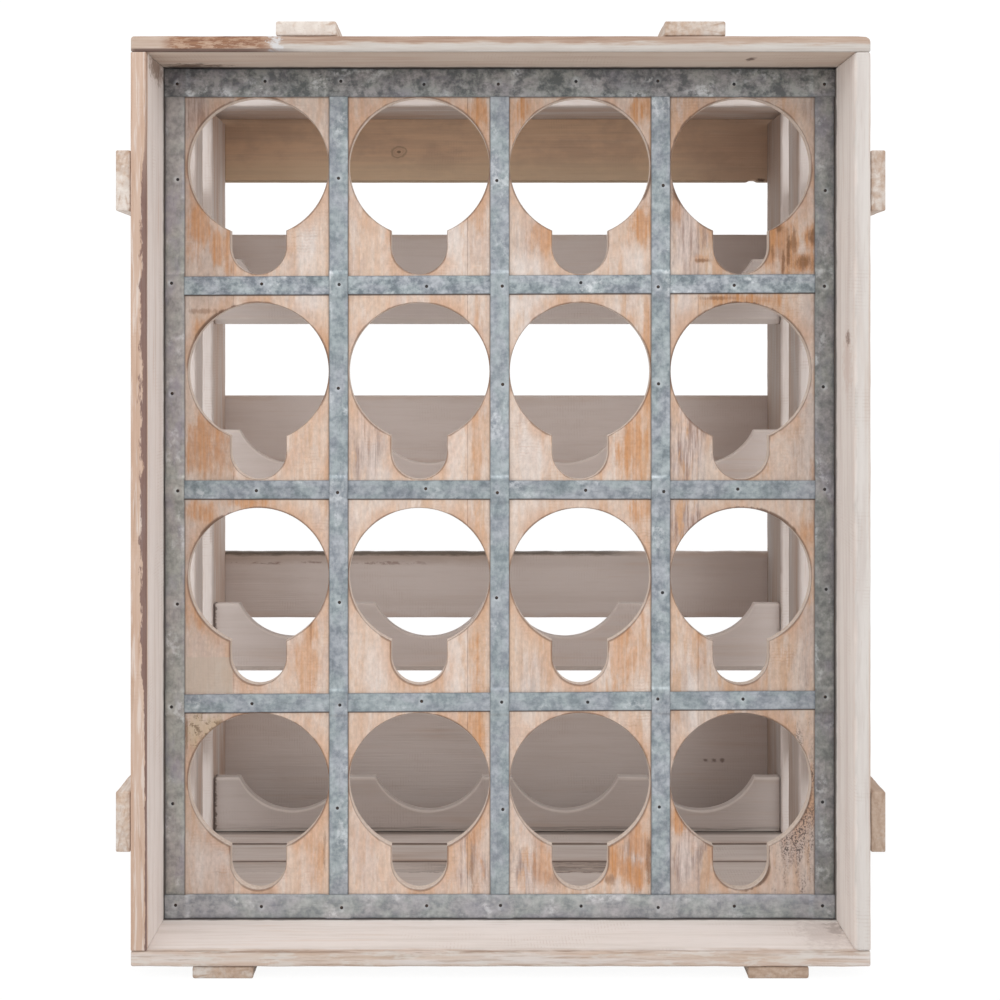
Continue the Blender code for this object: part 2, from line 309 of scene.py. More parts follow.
def grey(tone):
    """A colour with one tone in all its channels."""
    return add(tone.tree, "ShaderNodeCombineXYZ", 0, {0: tone, 1: tone, 2: tone})


def object_place(tree):
    """Where a point lies in its object, and so in the whole crate."""
    return add(tree, "ShaderNodeTexCoord", "Object")


def attribute(tree, name, output):
    """A number or vector stored in the mesh."""
    return add(tree, "ShaderNodeAttribute", output, attribute_name=name)


def start_material(name):
    """A new material with its node tree and shader."""
    material = bpy.data.materials.new(name)
    material.use_nodes = True
    return material, material.node_tree, material.node_tree.nodes["Principled BSDF"]


def new_group(name, inputs, outputs):
    """An empty shader node group, the signals that it is given, and the inputs that its results go to."""
    tree = bpy.data.node_groups.new(name, "ShaderNodeTree")
    for label, kind, value in inputs:
        tree.interface.new_socket(label, in_out="INPUT", socket_type=kind).default_value = value
    for label in outputs:
        tree.interface.new_socket(label, in_out="OUTPUT", socket_type="NodeSocketFloat")
    given = tree.nodes.new("NodeGroupInput").outputs
    signals = {label: Signal(given[label]) for label, _, _ in inputs}
    return tree, signals, tree.nodes.new("NodeGroupOutput").inputs


def place_group(group, inputs):
    """Puts a node group into the tree of its inputs, and gives its outputs by name."""
    made = tree_of(*inputs.values()).nodes.new("ShaderNodeGroup")
    made.node_tree = group
    connect(made, inputs)
    return {output.name: Signal(output) for output in made.outputs}


at_origin = ("NodeSocketVector", (0, 0, 0))
plain_number = "NodeSocketFloat"
heart_depth = 0.026
full_turn = 6.2832
saw_spacing = 0.0019

figure, given, result = new_group(
    "wood figure", [("Grain", *at_origin), ("Ring width", plain_number, 0.004)], ["Rings", "Fibres", "Pores"]
)
_, beside, below = parts(given["Grain"])
drift = cloud(given["Grain"], (2.6, 17.0, 17.0), 3.0, 0.55)
beside = beside + times_add(drift, 0.06, -0.03)
below = below - heart_depth
squares = times_add(beside, beside, below * below)
from_heart = work("SQRT", squares) / given["Ring width"]
phase = times_add(drift, 4.0, from_heart)
wave = work("SINE", phase * full_turn)
send(work("POWER", times_add(wave, 0.5, 0.5), 2.0), result["Rings"])
fibres = cloud(given["Grain"], (13.0, 640.0, 640.0), 3.0, 0.6)
send(ramp(fibres, 0.3, 0.7), result["Fibres"])
pores = cloud(given["Grain"], (42.0, 1250.0, 1250.0), 2.0, 0.6)
send(ramp(pores, 0.60, 0.72), result["Pores"])

limewash, given, result = new_group(
    "limewash left on",
    [("Grain", *at_origin), ("Bare", plain_number, 0.4), ("Softness", plain_number, 0.10)],
    ["Wash"],
)
patches = cloud(given["Grain"], (7.0, 30.0, 30.0), 4.0, 0.6, 0.4)
streaks = cloud(given["Grain"], (10.0, 260.0, 260.0), 3.0, 0.6)
cover = times_add(streaks, 0.45, patches * 0.55)
middle = times_add(given["Bare"], 0.36, 0.32)
send(ramp(cover, middle - given["Softness"], middle + given["Softness"]), result["Wash"])

edge_wear, given, result = new_group(
    "edge wear", [("Grain", *at_origin), ("Edge", plain_number, 0.0), ("Amount", plain_number, 0.5)], ["Worn"]
)
rubbed = cloud(given["Grain"], (38.0, 150.0, 150.0), 3.0, 0.6)
near = given["Edge"] * times_add(rubbed, 1.6, -0.25)
send(ramp(near, 0.22, 0.62) * given["Amount"], result["Worn"])

saw_marks, given, result = new_group(
    "saw marks", [("Grain", *at_origin), ("Spacing", plain_number, saw_spacing)], ["Lines"]
)
lengthwise = parts(given["Grain"])[0]
lean = cloud(given["Grain"], (9.0, 9.0, 9.0), 2.0)
turns = times_add(lean, 5.0, lengthwise / given["Spacing"])
comb = times_add(work("SINE", turns * full_turn), 0.5, 0.5)
where = ramp(cloud(given["Grain"], (22.0, 26.0, 26.0), 2.0), 0.50, 0.66)
broken = ramp(cloud(given["Grain"], (160.0, 240.0, 240.0), 2.0), 0.42, 0.58)
lines = work("POWER", comb, 3.0) * (where * broken)
send(lines, result["Lines"])


def limewashed_wood(name, pale, deep, layers=None, dark=(0.42, 0.24, 0.15), wash=(0.84, 0.78, 0.75),
                    grime=(0.74, 0.67, 0.63), ring_width=0.0045, wear=0.5, saw_depth=0.3, open_pores=0.20,
                    softness=0.11):
    """Softwood with thin limewash: the wood's own rings and fibres, and the wash broken up along the grain.

    pale, deep and dark are the bare wood, its late wood and its darkest marks; wash and grime are the
    limewash where it is clean and where it has greyed. layers adds what only one group of boards has.
    """
    material, tree, shader = start_material(name)
    grain = attribute(tree, "grain", "Vector")
    edge = attribute(tree, "edge", "Fac")
    tone, bare, _ = parts(attribute(tree, "look", "Vector"))
    rings, fibres, pores = place_group(figure, {"Grain": grain, "Ring width": ring_width}).values()
    left_on = place_group(limewash, {"Grain": grain, "Bare": bare, "Softness": softness})["Wash"]
    worn = place_group(edge_wear, {"Grain": grain, "Edge": edge, "Amount": wear})["Worn"]
    lines = place_group(saw_marks, {"Grain": grain, "Spacing": saw_spacing})["Lines"]

    late = times_add(rings, 0.40, fibres * 0.45)
    wood = blend(late, pale, deep)
    warm = ramp(cloud(grain, (5.0, 22.0, 22.0), 3.0), 0.50, 0.72)
    wood = blend(warm * 0.30, wood, dark)
    greyed = ramp(cloud(grain, (9.0, 120.0, 120.0), 4.0, 0.65), 0.40, 0.68)
    coat = blend(greyed, wash, grime)
    colour = blend(left_on * 0.94, wood, coat)
    colour = blend(pores * open_pores, colour, dark)
    colour = blend(lines * 0.18, colour, dark)
    colour = blend(worn, colour, deep)
    if layers is not None:
        colour = layers(colour, object_place(tree), fibres)
    colour = blend(1.0, colour, grey(tone), "MULTIPLY")

    send(colour, shader.inputs["Base Color"])
    send(times_add(fibres, 0.18, 0.68), shader.inputs["Roughness"])
    height = times_add(fibres, 0.5, left_on * 0.35)
    height = times_add(pores, -0.5, height)
    height = times_add(lines, -saw_depth, height)
    bump = add(tree, "ShaderNodeBump", 0, {"Height": height, "Strength": 0.55, "Distance": 0.00022})
    send(bump, shader.inputs["Normal"])
    return material


limewashed_board = limewashed_wood("limewashed_board", (0.76, 0.60, 0.50), (0.64, 0.44, 0.33), wear=0.75)


spot, given, result = new_group(
    "ragged spot",
    [
        ("Place", *at_origin),
        ("Centre", *at_origin),
        ("Size", "NodeSocketVector", (1, 1, 1)),
        ("Fray", plain_number, 0.5),
    ],
    ["Mask"],
)
scaled = vector_work("DIVIDE", vector_work("SUBTRACT", given["Place"], given["Centre"]), given["Size"])
reach = vector_work("LENGTH", scaled, output="Value")
away = times_add(given["Fray"], 2.4, reach - 1.2)
send(ramp(away, 1.1, 0.3), result["Mask"])


def spot_mask(place, centre, size, frayed):
    """A share that is 1 inside a ragged spot and 0 outside it."""
    return place_group(spot, {"Place": place, "Centre": centre, "Size": size, "Fray": frayed})["Mask"]


def mark(colour, place, centre, size, strength, shade):
    """One ragged spot of another colour at a place on a board."""
    frayed = cloud(place, (240.0, 240.0, 240.0), 4.0, 0.65)
    return blend(spot_mask(place, centre, size, frayed) * strength, colour, shade)


def shade_at_panel(colour, place, depth):
    """Painted shade: a dark broken line inside the crate along the front of the panel, depth metres wide at the
    most.
    """
    x, y, z = parts(place)
    inside = ramp(abs(x), wall_inside + 0.0012, wall_inside + 0.0005)
    inside = inside * ramp(z, floor_top - 0.0012, floor_top - 0.0005)
    inside = inside * ramp(z, ceiling + 0.0012, ceiling + 0.0005)
    broken = cloud(place, (70.0, 70.0, 70.0), 4.0, 0.65)
    reach = times_add(broken, depth, 0.2 * depth)
    ahead = (panel_front - 0.0012 - y) / reach
    line = ramp(ahead, 1.0, 0.3) * ramp(y, panel_front + 0.002, panel_front) * inside
    # The dark colour is painted shade in the corner where the walls, floor and top meet the panel.
    return blend(line * 0.85, colour, (0.055, 0.040, 0.035))


panel_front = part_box("panel_plank_1")[0][1]
wall_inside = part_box("right_board_front")[0][0]
floor_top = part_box("bottom_board_front")[1][2]
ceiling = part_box("top_board_front")[0][2]


def streaks_at_mouth(place, stretch, start, end):
    """Broken streaks on the edge of a board that faces out of the mouth: noise raised through a threshold."""
    y = parts(place)[1]
    torn = ramp(cloud(place, stretch, 4.0, 0.65), start, end)
    return torn * ramp(y, mouth_y + 0.0016, mouth_y + 0.0006)


mouth_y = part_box("left_board_front")[0][1]
left_rim_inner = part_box("left_board_front")[1][0]


def left_rim(colour, place, fibres):
    """Peach wood with white left in its grain, and a torn maroon band down the inner half of the rim."""
    x, front, z = parts(place)
    white = streaks_at_mouth(place, (520.0, 300.0, 26.0), 0.52, 0.60)
    colour = blend(white * 0.45, colour, (0.82, 0.76, 0.72))
    brown = streaks_at_mouth(place, (420.0, 260.0, 18.0), 0.56, 0.66)
    colour = blend(brown * 0.5, colour, (0.44, 0.27, 0.18))
    middle = ramp(z, 0.105, 0.20) * ramp(z, 0.47, 0.40)
    reach = times_add(middle, 0.0030, 0.0010)
    inward = left_rim_inner - x
    inside = 1.0 - inward / reach
    torn = cloud(place, (380.0, 200.0, 95.0), 4.0, 0.65)
    band = ramp(inside + times_add(torn, 2.4, -1.2), 0.10, 0.42)
    band = band * ramp(front, mouth_y + 0.0022, mouth_y + 0.0012) * ramp(z, 0.475, 0.42, 0.25, 0.85)
    colour = blend(band, colour, (0.16, 0.085, 0.075))
    colour = mark(
        colour, place, (left_rim_inner, -0.120, 0.497), (0.004, 0.028, 0.009), 0.8, (0.24, 0.15, 0.10)
    )
    return shade_at_panel(colour, place, 0.0070)


def right_rim(colour, place, fibres):
    """A stained knot on the inner face, and a thin peach line at the outer edge of the rim."""
    x = parts(place)[0]
    inner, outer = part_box("right_board_front")[0][0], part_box("right_board_front")[1][0]
    peach = ramp(x, outer - 0.0016, outer - 0.0006) * fibres
    colour = blend(peach * 0.6, colour, (0.66, 0.46, 0.34))
    colour = mark(colour, place, (inner, -0.130, 0.333), (0.004, 0.016, 0.020), 0.35, (0.60, 0.42, 0.34))
    colour = mark(colour, place, (inner, -0.132, 0.3469), (0.004, 0.006, 0.0045), 0.75, (0.22, 0.13, 0.10))
    return shade_at_panel(colour, place, 0.0090)


left_rim_board = limewashed_wood("left_rim_board", (0.66, 0.49, 0.39), (0.56, 0.37, 0.27), left_rim)

right_rim_board = limewashed_wood("right_rim_board", (0.74, 0.62, 0.54), (0.68, 0.54, 0.46), right_rim,
                                  dark=(0.50, 0.36, 0.29), wash=(0.84, 0.79, 0.75), wear=0.25)


cap_reach = 0.0005


def reach_caps(points):
    """Lengthens a front side board a little at both ends, so that it all but touches the boards over them."""
    low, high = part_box("left_board_front")
    middle, length = (low[2] + high[2]) / 2, high[2] - low[2]
    moved = points.copy()
    moved[:, 2] = middle + (points[:, 2] - middle) * (1 + cap_reach / length)
    return moved


dress_board("left_board_front", left_rim_board, 1, (1.08, 0.02, 0.90), easing=0.0006, mouth_tone=0.86,
            reshape=reach_caps)
dress_board("left_board_middle", limewashed_board, 2, (0.92, 0.30, 0.0), mouth_tone=1.22)
dress_board("left_board_rear", limewashed_board, 3, (0.95, 0.55, 0.0), mouth_tone=1.09)
dress_board("right_board_front", right_rim_board, 4, (1.04, 0.02, 0.06), corner_sizes=(1, 1, 2.8, 1),
            mouth_tone=0.77, reshape=reach_caps)
dress_board("right_board_middle", limewashed_board, 5, (0.70, 0.50, 0.0), mouth_tone=1.42)
dress_board("right_board_rear", limewashed_board, 6, (0.60, 0.60, 0.0), mouth_tone=1.72)


# Top and bottom
# Boards across the crate over the ends of the side boards, three above and four below. The front top board
# is the most worn: its mouth edge is rubbed back to orange wood.

top_rim_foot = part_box("top_board_front")[0][2]


def top_rim(colour, place, fibres):
    """Orange wood along the upper half of the rim, redder and torn at the left, and white paint under it."""
    x, y, z = parts(place)
    front = ramp(y, mouth_y + 0.0022, mouth_y + 0.0012)
    torn = times_add(cloud(place, (34.0, 200.0, 320.0), 4.0, 0.62), 0.0070, -0.0035)
    height = z - top_rim_foot + torn
    streaky = times_add(cloud(place, (30.0, 300.0, 760.0), 4.0, 0.65), 2.0, -0.5)
    peach = blend(streaky, (0.56, 0.38, 0.28), (0.76, 0.62, 0.52))
    colour = blend(front * 0.85, colour, peach)
    pale = blend(streaky, (0.66, 0.58, 0.52), (0.80, 0.77, 0.73))
    lower = ramp(height, 0.0056, 0.0034) * front * ramp(x, -0.128, -0.118)
    colour = blend(lower * 0.95, colour, pale)
    upper = ramp(height, 0.0040, 0.0060) * front * ramp(x, 0.16, 0.06, 0.35, 1.0)
    rust = blend(streaky, (0.30, 0.15, 0.09), (0.62, 0.44, 0.34))
    upper = upper * ramp(x, -0.186, -0.170)
    colour = blend(upper * 0.75, colour, rust)
    left = ramp(x, -0.186, -0.174) * ramp(x, -0.120, -0.132)
    flakes = ramp(cloud(place, (130.0, 200.0, 560.0), 5.0, 0.75), 0.44, 0.54)
    red = left * flakes * front * ramp(height, 0.0008, 0.0022)
    ochre = left * front * ramp(height, 0.0006, 0.0024)
    colour = blend(ochre * 0.55, colour, (0.55, 0.31, 0.18))
    burnt = blend(streaky, (0.17, 0.055, 0.035), (0.48, 0.25, 0.13))
    colour = blend(red * 0.9, colour, burnt)
    patch = ramp(x, -0.134, -0.124) * ramp(x, -0.110, -0.120)
    mottled = times_add(patch, 0.55, cloud(place, (210.0, 200.0, 420.0), 5.0, 0.75))
    patch = ramp(mottled, 0.96, 1.10) * front
    colour = blend(patch * 0.85, colour, (0.84, 0.83, 0.84))
    foot = ramp(z, top_rim_foot + 0.0022, top_rim_foot + 0.0012)
    foot = foot * front * ramp(x, -0.10, -0.14, 0.10, 0.85) * ramp(x, -0.203, -0.197)
    colour = blend(foot, colour, (0.10, 0.045, 0.035))
    small_size, wide_size = (0.0032, 0.0060, 0.004), (0.022, 0.011, 0.004)
    colour = mark(colour, place, (0.1389, -0.1264, top_rim_foot), small_size, 0.85, (0.14, 0.08, 0.06))
    colour = mark(colour, place, (-0.1740, -0.1020, top_rim_foot), wide_size, 0.85, (0.15, 0.09, 0.06))
    return shade_at_panel(colour, place, 0.0080)


top_rim_board = limewashed_wood("top_rim_board", (0.74, 0.58, 0.48), (0.62, 0.42, 0.31), top_rim,
                                wash=(0.75, 0.64, 0.55), grime=(0.67, 0.54, 0.45))


def knocked_corners(points):
    """Rounds the top board's upper end corners: the height falls as a quarter circle near each end."""
    low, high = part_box("top_board_front")
    moved = points.copy()
    for end_x, radius in ((low[0], 0.0022), (high[0], 0.0042)):
        into = np.clip(radius - np.abs(points[:, 0] - end_x), 0, radius)
        limit = high[2] - radius + np.sqrt(radius**2 - into**2)
        moved[:, 2] = np.minimum(moved[:, 2], np.where(points[:, 2] > high[2] - radius, limit, points[:, 2]))
    return moved


underside_rise = 0.0026


def rising_underside(points):
    """Raises the underside of the rear top board evenly from its front edge to its back edge."""
    low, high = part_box("top_board_rear")
    moved = points.copy()
    below = points[:, 2] < (low[2] + high[2]) / 2
    moved[:, 2] += np.where(below, underside_rise * (points[:, 1] - low[1]) / (high[1] - low[1]), 0)
    return moved


dress_board("top_board_front", top_rim_board, 7, (0.90, 0.20, 0.50), corner_sizes=(1, 1, 0.7, 2.0),
            mouth_tone=0.86, reshape=knocked_corners)
dress_board("top_board_middle", limewashed_board, 8, (0.98, 0.25, 0.40))
dress_board(
    "top_board_rear", limewashed_board, 9, (0.70, 0.50, 0.0), mouth_tone=1.35, reshape=rising_underside
)


def bottom_rim(colour, place, fibres):
    """Brown streaks along the rim, two dark marks at the right end of the inner face, and painted shade at the
    panel.
    """
    _, y, z = parts(place)
    front = ramp(y, mouth_y + 0.0016, mouth_y + 0.0008)
    streaky = cloud(place, (24.0, 300.0, 700.0), 4.0, 0.68)
    brown = ramp(streaky, 0.50, 0.62) * front
    colour = blend(brown * 0.45, colour, (0.42, 0.28, 0.19))
    chalky = ramp(cloud(place, (46.0, 200.0, 240.0), 4.0, 0.65), 0.50, 0.60) * front
    colour = blend(chalky * 0.55, colour, (0.80, 0.76, 0.71))
    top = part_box("bottom_board_front")[1][2]
    head = ramp(z, top - 0.0014, top - 0.0006) * front * ramp(streaky, 0.44, 0.56)
    colour = blend(head * 0.5, colour, (0.26, 0.17, 0.12))
    colour = mark(colour, place, (0.180, -0.120, top), (0.016, 0.030, 0.004), 0.30, (0.40, 0.32, 0.29))
    colour = mark(colour, place, (0.188, -0.112, top), (0.006, 0.014, 0.004), 0.40, (0.20, 0.14, 0.12))
    return shade_at_panel(colour, place, 0.0040)


def floor_marks_and_shadow(colour, place, fibres):
    """Dark lines where the bottom boards meet, the waney brown rear edge of the middle one and a painted shadow
    at the lowest cradle, on top.
    """
    plain = colour
    x, y, z = parts(place)
    knotty = cloud(place, (120.0, 260.0, 60.0), 4.0, 0.65)
    wavy = times_add(knotty, 0.010, y - 0.005)
    rear_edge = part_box("bottom_board_middle")[1][1]
    waney = ramp(wavy, -0.0065, -0.0055) * ramp(y, rear_edge + 0.0005, rear_edge)
    middle_only = ramp(x, -0.080, 0.010, 0.25, 1.0) * ramp(x, 0.100, 0.066)
    waney = waney * middle_only
    streaks = cloud(place, (60.0, 420.0, 60.0), 4.0, 0.7, 1.2)
    browned = blend(ramp(streaks, 0.42, 0.58), (0.12, 0.080, 0.060), (0.52, 0.42, 0.36))
    colour = blend(waney * 0.62, colour, browned)
    outline = ramp(wavy, -0.0072, -0.0062) * ramp(wavy, -0.0045, -0.0055) * middle_only
    colour = blend(outline * 0.6, colour, (0.16, 0.10, 0.07))
    for line, half, depth in ((rear_edge, 0.0020, 0.75), (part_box("bottom_board_narrow")[1][1], 0.0024, 0.80)):
        reach = abs(y - line)
        colour = blend(ramp(reach, half, half / 2, 0.0, depth), colour, (0.13, 0.085, 0.065))
    reach = abs(y - (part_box("bottom_board_narrow")[1][1] - 0.0050))
    colour = blend(ramp(reach, 0.0026, 0.0010, 0.0, 0.5), colour, (0.86, 0.82, 0.79))
    # Painted shadow on the bottom boards, from just in front of the lowest cradle back under it.
    cradle_shadow = ramp(y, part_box("bottle_cradle_4")[0][1] - 0.0090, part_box("bottle_cradle_4")[0][1] - 0.0020)
    colour = blend(cradle_shadow * 0.70, colour, (0.10, 0.070, 0.055))
    return blend(ramp(z, floor_top - 0.0014, floor_top - 0.0006), plain, colour)


bottom_rim_board = limewashed_wood("bottom_rim_board", (0.74, 0.60, 0.50), (0.64, 0.47, 0.37), bottom_rim,
                                   dark=(0.42, 0.26, 0.18), grime=(0.76, 0.70, 0.66), wear=0.4)
floor_board = limewashed_wood("floor_board", (0.72, 0.60, 0.53), (0.48, 0.35, 0.27), floor_marks_and_shadow,
                              dark=(0.36, 0.24, 0.17), wash=(0.82, 0.75, 0.71), grime=(0.72, 0.64, 0.60))
dress_board("bottom_board_front", bottom_rim_board, 10, (1.08, 0.02, 0.55), mouth_tone=0.78)
dress_board("bottom_board_middle", floor_board, 11, (0.94, 0.20, 0.40))
dress_board("bottom_board_narrow", floor_board, 13, (0.94, 0.20, 0.40))
dress_board("bottom_board_rear", floor_board, 12, (0.94, 0.20, 0.40))


# Back
# Five boards nailed over the back edges of the walls. The top one took little wash and shows brown wood
# with a knot, and the fourth keeps a rough sawn upper edge.

knot, given, result = new_group(
    "knot", [("Place", *at_origin), ("Centre", *at_origin), ("Size", plain_number, 0.005)], ["Heart", "Rings"]
)
offset = vector_work("SUBTRACT", given["Place"], given["Centre"])
reach = vector_work("LENGTH", vector_work("MULTIPLY", offset, (0.78, 0.0, 1.0)), output="Value")
wobble = times_add(cloud(given["Place"], (260.0, 260.0, 260.0), 2.0), 0.7, -0.35)
away = reach / given["Size"] + wobble
send(ramp(away, 0.42, 0.18), result["Heart"])
outer_ring = ramp(abs(away - 1.0), 0.26, 0.06)
inner_ring = ramp(abs(away - 0.62), 0.20, 0.05, 0.0, 0.45)
send(work("MAXIMUM", outer_ring, inner_ring), result["Rings"])


def back_knot(colour, place, fibres):
    """Yellower wood low down with a thin brown lower edge, darker at the right with smoke and painted shade,
    and a small tight knot.
    """
    x, _, z = parts(place)
    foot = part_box("back_board_1")[0][2]
    streaky = cloud(place, (14.0, 60.0, 330.0), 4.0, 0.65)
    colour = blend(ramp(streaky, 0.42, 0.66, 0.0, 0.20), colour, (0.34, 0.23, 0.17))
    smoky = cloud(place, (24.0, 60.0, 44.0), 4.0, 0.62)
    colour = blend(ramp(smoky, 0.46, 0.66, 0.0, 0.34), colour, (0.36, 0.25, 0.19))
    low_down = ramp(z, foot + 0.022, foot + 0.005) * ramp(x, 0.19, 0.08, 0.4, 1.0)
    colour = blend(low_down * 0.45, colour, (0.66, 0.55, 0.39))
    # Darker towards the right end: smoke, and painted shade of the corner by the right wall.
    colour = blend(ramp(x, 0.10, 0.18, 0.0, 0.40), colour, (0.30, 0.20, 0.165))
    edge_line = ramp(z, foot + 0.0016, foot + 0.0006, 0.0, 0.55)
    colour = blend(edge_line, colour, (0.24, 0.17, 0.11))
    marks = place_group(knot, {"Place": place, "Centre": (-0.0688, 0.1415, 0.4811), "Size": 0.0038})
    colour = blend(marks["Rings"] * 0.42, colour, (0.20, 0.13, 0.09))
    colour = blend(marks["Heart"] * 0.7, colour, (0.09, 0.05, 0.03))
    return mark(
        colour, place, (0.1870, 0.1415, foot + 0.0012), (0.0040, 0.010, 0.0018), 0.85, (0.09, 0.055, 0.04)
    )


def sawn_edge(colour, place, fibres):
    """A dark rough line along the top of the fourth board, a brown band under it, and smoke with painted shade
    at the right.

    The line fades over the third column of keyholes, and the band stops before it.
    """
    x, _, z = parts(place)
    ragged = times_add(cloud(place, (70.0, 60.0, 260.0), 5.0, 0.7), 0.0046, -0.0023)
    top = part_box("back_board_4")[1][2]
    down = top - z
    torn = down + ragged
    on_board = ramp(down, -0.0010, -0.0005)
    band = ramp(torn, 0.0115, 0.0045) * ramp(x, 0.030, 0.0) * on_board
    smear = cloud(place, (40.0, 60.0, 300.0), 4.0, 0.65)
    browned = blend(smear, (0.30, 0.20, 0.15), (0.62, 0.52, 0.45))
    colour = blend(band * 0.62, colour, browned)
    fringe = ramp(torn, 0.0068, 0.0078) * ramp(torn, 0.0096, 0.0086) * on_board * ramp(x, -0.02, -0.08)
    spotty = ramp(cloud(place, (130.0, 60.0, 260.0), 4.0, 0.65), 0.46, 0.60)
    colour = blend(fringe * spotty * 0.55, colour, (0.22, 0.11, 0.08))
    line = ramp(torn, 0.0040, 0.0016) * ramp(x, 0.110, 0.070) * on_board
    colour = blend(line * 0.80, colour, (0.105, 0.085, 0.065))
    for dot in (0.1483, 0.1540, 0.1597):
        colour = mark(colour, place, (dot, 0.1415, 0.0510), (0.0022, 0.01, 0.0018), 0.8, (0.12, 0.085, 0.07))
    # Darker towards the right end: smoke, and painted shade of the corner by the right wall.
    return blend(ramp(x, 0.110, 0.170, 0.0, 0.42), colour, (0.30, 0.21, 0.175))


brown_board = limewashed_wood("brown_back_board", (0.69, 0.50, 0.35), (0.63, 0.45, 0.31), back_knot,
                              dark=(0.44, 0.29, 0.19), wash=(0.70, 0.545, 0.41), grime=(0.65, 0.49, 0.365),
                              ring_width=0.0085, saw_depth=0.2, open_pores=0.08)
back_board = limewashed_wood("back_board", (0.70, 0.59, 0.52), (0.66, 0.54, 0.47), sawn_edge,
                             dark=(0.50, 0.38, 0.31), wash=(0.745, 0.68, 0.65), grime=(0.70, 0.63, 0.595),
                             ring_width=0.006, open_pores=0.08)


sawn_depth = 0.0005
sawn_length = 0.09
sag_depth = 0.0016
sag_half_width = 0.115
chip_depth = 0.0011
chip_half_width = 0.0030


def rough_edge(node, seed):
    """The height of a sawn upper edge that wanders a little along the board."""
    low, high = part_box(node)
    width = high[2] - low[2]

    def top(places):
        return width - sawn_depth - sawn_depth * np.abs(ripple(places, seed, sawn_length))

    return top


def sagging_edge(points):
    """Sags the third board's lower edge between the outer columns, as a flat-topped bell."""
    low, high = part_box("back_board_3")
    moved = points.copy()
    below = points[:, 2] < (low[2] + high[2]) / 2
    moved[:, 2] -= np.where(below, sag_depth * np.exp(-((points[:, 0] / sag_half_width) ** 4)), 0)
    return moved


def chipped_edge(points):
    """Chips the first board's lower edge near its right end, in the shape of a flat-topped bell."""
    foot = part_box("back_board_1")[0][2]
    moved = points.copy()
    below = points[:, 2] < foot + 0.003
    bell = np.exp(-(((points[:, 0] - chip_place) / chip_half_width) ** 4))
    moved[:, 2] += np.where(below, chip_depth * bell, 0)
    return moved


chip_place = 0.1812
chip_stations = chip_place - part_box("back_board_1")[0][0] + np.linspace(-0.005, 0.005, 13)


dress_board("back_board_1", brown_board, 21, (1.16, 0.85, 0.8), reshape=chipped_edge,
            extra_stations=chip_stations, shrink=flush)
dress_board("back_board_2", back_board, 22, (1.02, 0.15, 0.4), shrink=flush)
dress_board("back_board_3", back_board, 23, (1.08, 0.10, 0.5), reshape=sagging_edge, shrink=flush)
dress_board("back_board_4", back_board, 24, (1.04, 0.10, 0.5), top_line=rough_edge("back_board_4", 24),
            shrink=flush)
dress_board("back_board_5", back_board, 25, (1.09, 0.10, 0.5), shrink=flush)


# Battens
# Eight short cleats from front to back that tie the wall boards together, sawn square and hardly eased. The
# two underneath are the feet. Their ends show the growth rings.

batten_wood = limewashed_wood("batten_wood", (0.66, 0.50, 0.39), (0.48, 0.33, 0.24), dark=(0.30, 0.18, 0.12),
                              wash=(0.80, 0.73, 0.67), grime=(0.68, 0.60, 0.54), ring_width=0.0042, wear=0.8)
batten_looks = {
    "left_batten_upper": (0.95, 0.35, 0.40),
    "left_batten_lower": (0.92, 0.40, 0.50),
    "right_batten_upper": (0.88, 0.40, 0.50),
    "right_batten_lower": (0.74, 0.80, 0.90),
    "top_batten_left": (0.98, 0.25, 0.20),
    "top_batten_right": (0.86, 0.35, 0.60),
    "foot_batten_left": (0.80, 0.50, 0.55),
    "foot_batten_right": (0.76, 0.50, 0.75),
}
for seed, (name, look) in enumerate(batten_looks.items(), 31):
    dress_board(name, batten_wood, seed, look, easing=0.0009, shrink=flush)


# Bottle cradles
# Four boards stood on edge near the back, each with four round scallops for the bottles' bodies. The three
# upper ones have the long edge under their front planed off, and the lowest was ripped down to stand on the
# floor.

column_pitch = 0.092
column_places = np.array([-1.5, -0.5, 0.5, 1.5]) * column_pitch
scallop_radius = 0.040
scallop_depths = (0.0207, 0.0227, 0.0227, 0.0227)
cradle_chamfer = 0.0036


def cradle_marks_and_painted_light(colour, place, fibres):
    """The planed lower edges of the upper cradles, paler as a painted highlight, a painted highlight along the
    edges, strongest on the lowest cradle, painted shade along that one's foot, and a dark torn line at the left
    ends of the lower two, rough wood with painted shade where they meet the wall.
    """
    x, _, z = parts(place)
    # Painted highlight: the planed face of each upper cradle is made paler.
    for row in (1, 2, 3):
        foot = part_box(f"bottle_cradle_{row}")[0][2]
        planed = ramp(z, foot - 0.001, foot) * ramp(z, foot + 0.0037, foot + 0.0034)
        colour = blend(planed * 0.6, colour, (0.84, 0.79, 0.76))
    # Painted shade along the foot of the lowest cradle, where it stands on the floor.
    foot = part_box("bottle_cradle_4")[0][2]
    streaky = cloud(place, (16.0, 60.0, 620.0), 4.0, 0.7)
    reach = times_add(streaky, 0.010, foot - 0.0010 - z)
    colour = blend(ramp(reach, 0.0005, 0.0035, 0.0, 0.65), colour, (0.11, 0.080, 0.065))
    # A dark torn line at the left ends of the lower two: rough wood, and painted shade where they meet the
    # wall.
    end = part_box("bottle_cradle_4")[0][0]
    ragged = times_add(cloud(place, (200.0, 200.0, 340.0), 4.0, 0.7), 0.0060, -0.0030)
    torn = ramp(x - end + ragged, 0.0022, 0.0010) * ramp(z, 0.19, 0.18)
    # Painted highlight along the edges, strongest low down on the lowest cradle.
    arris = ramp(attribute(place.tree, "edge", "Fac"), 0.62, 0.97) * ramp(z, 0.10, 0.09, 0.25, 0.70)
    colour = blend(arris, colour, (0.92, 0.85, 0.80))
    return blend(torn * 0.8, colour, (0.14, 0.10, 0.085))


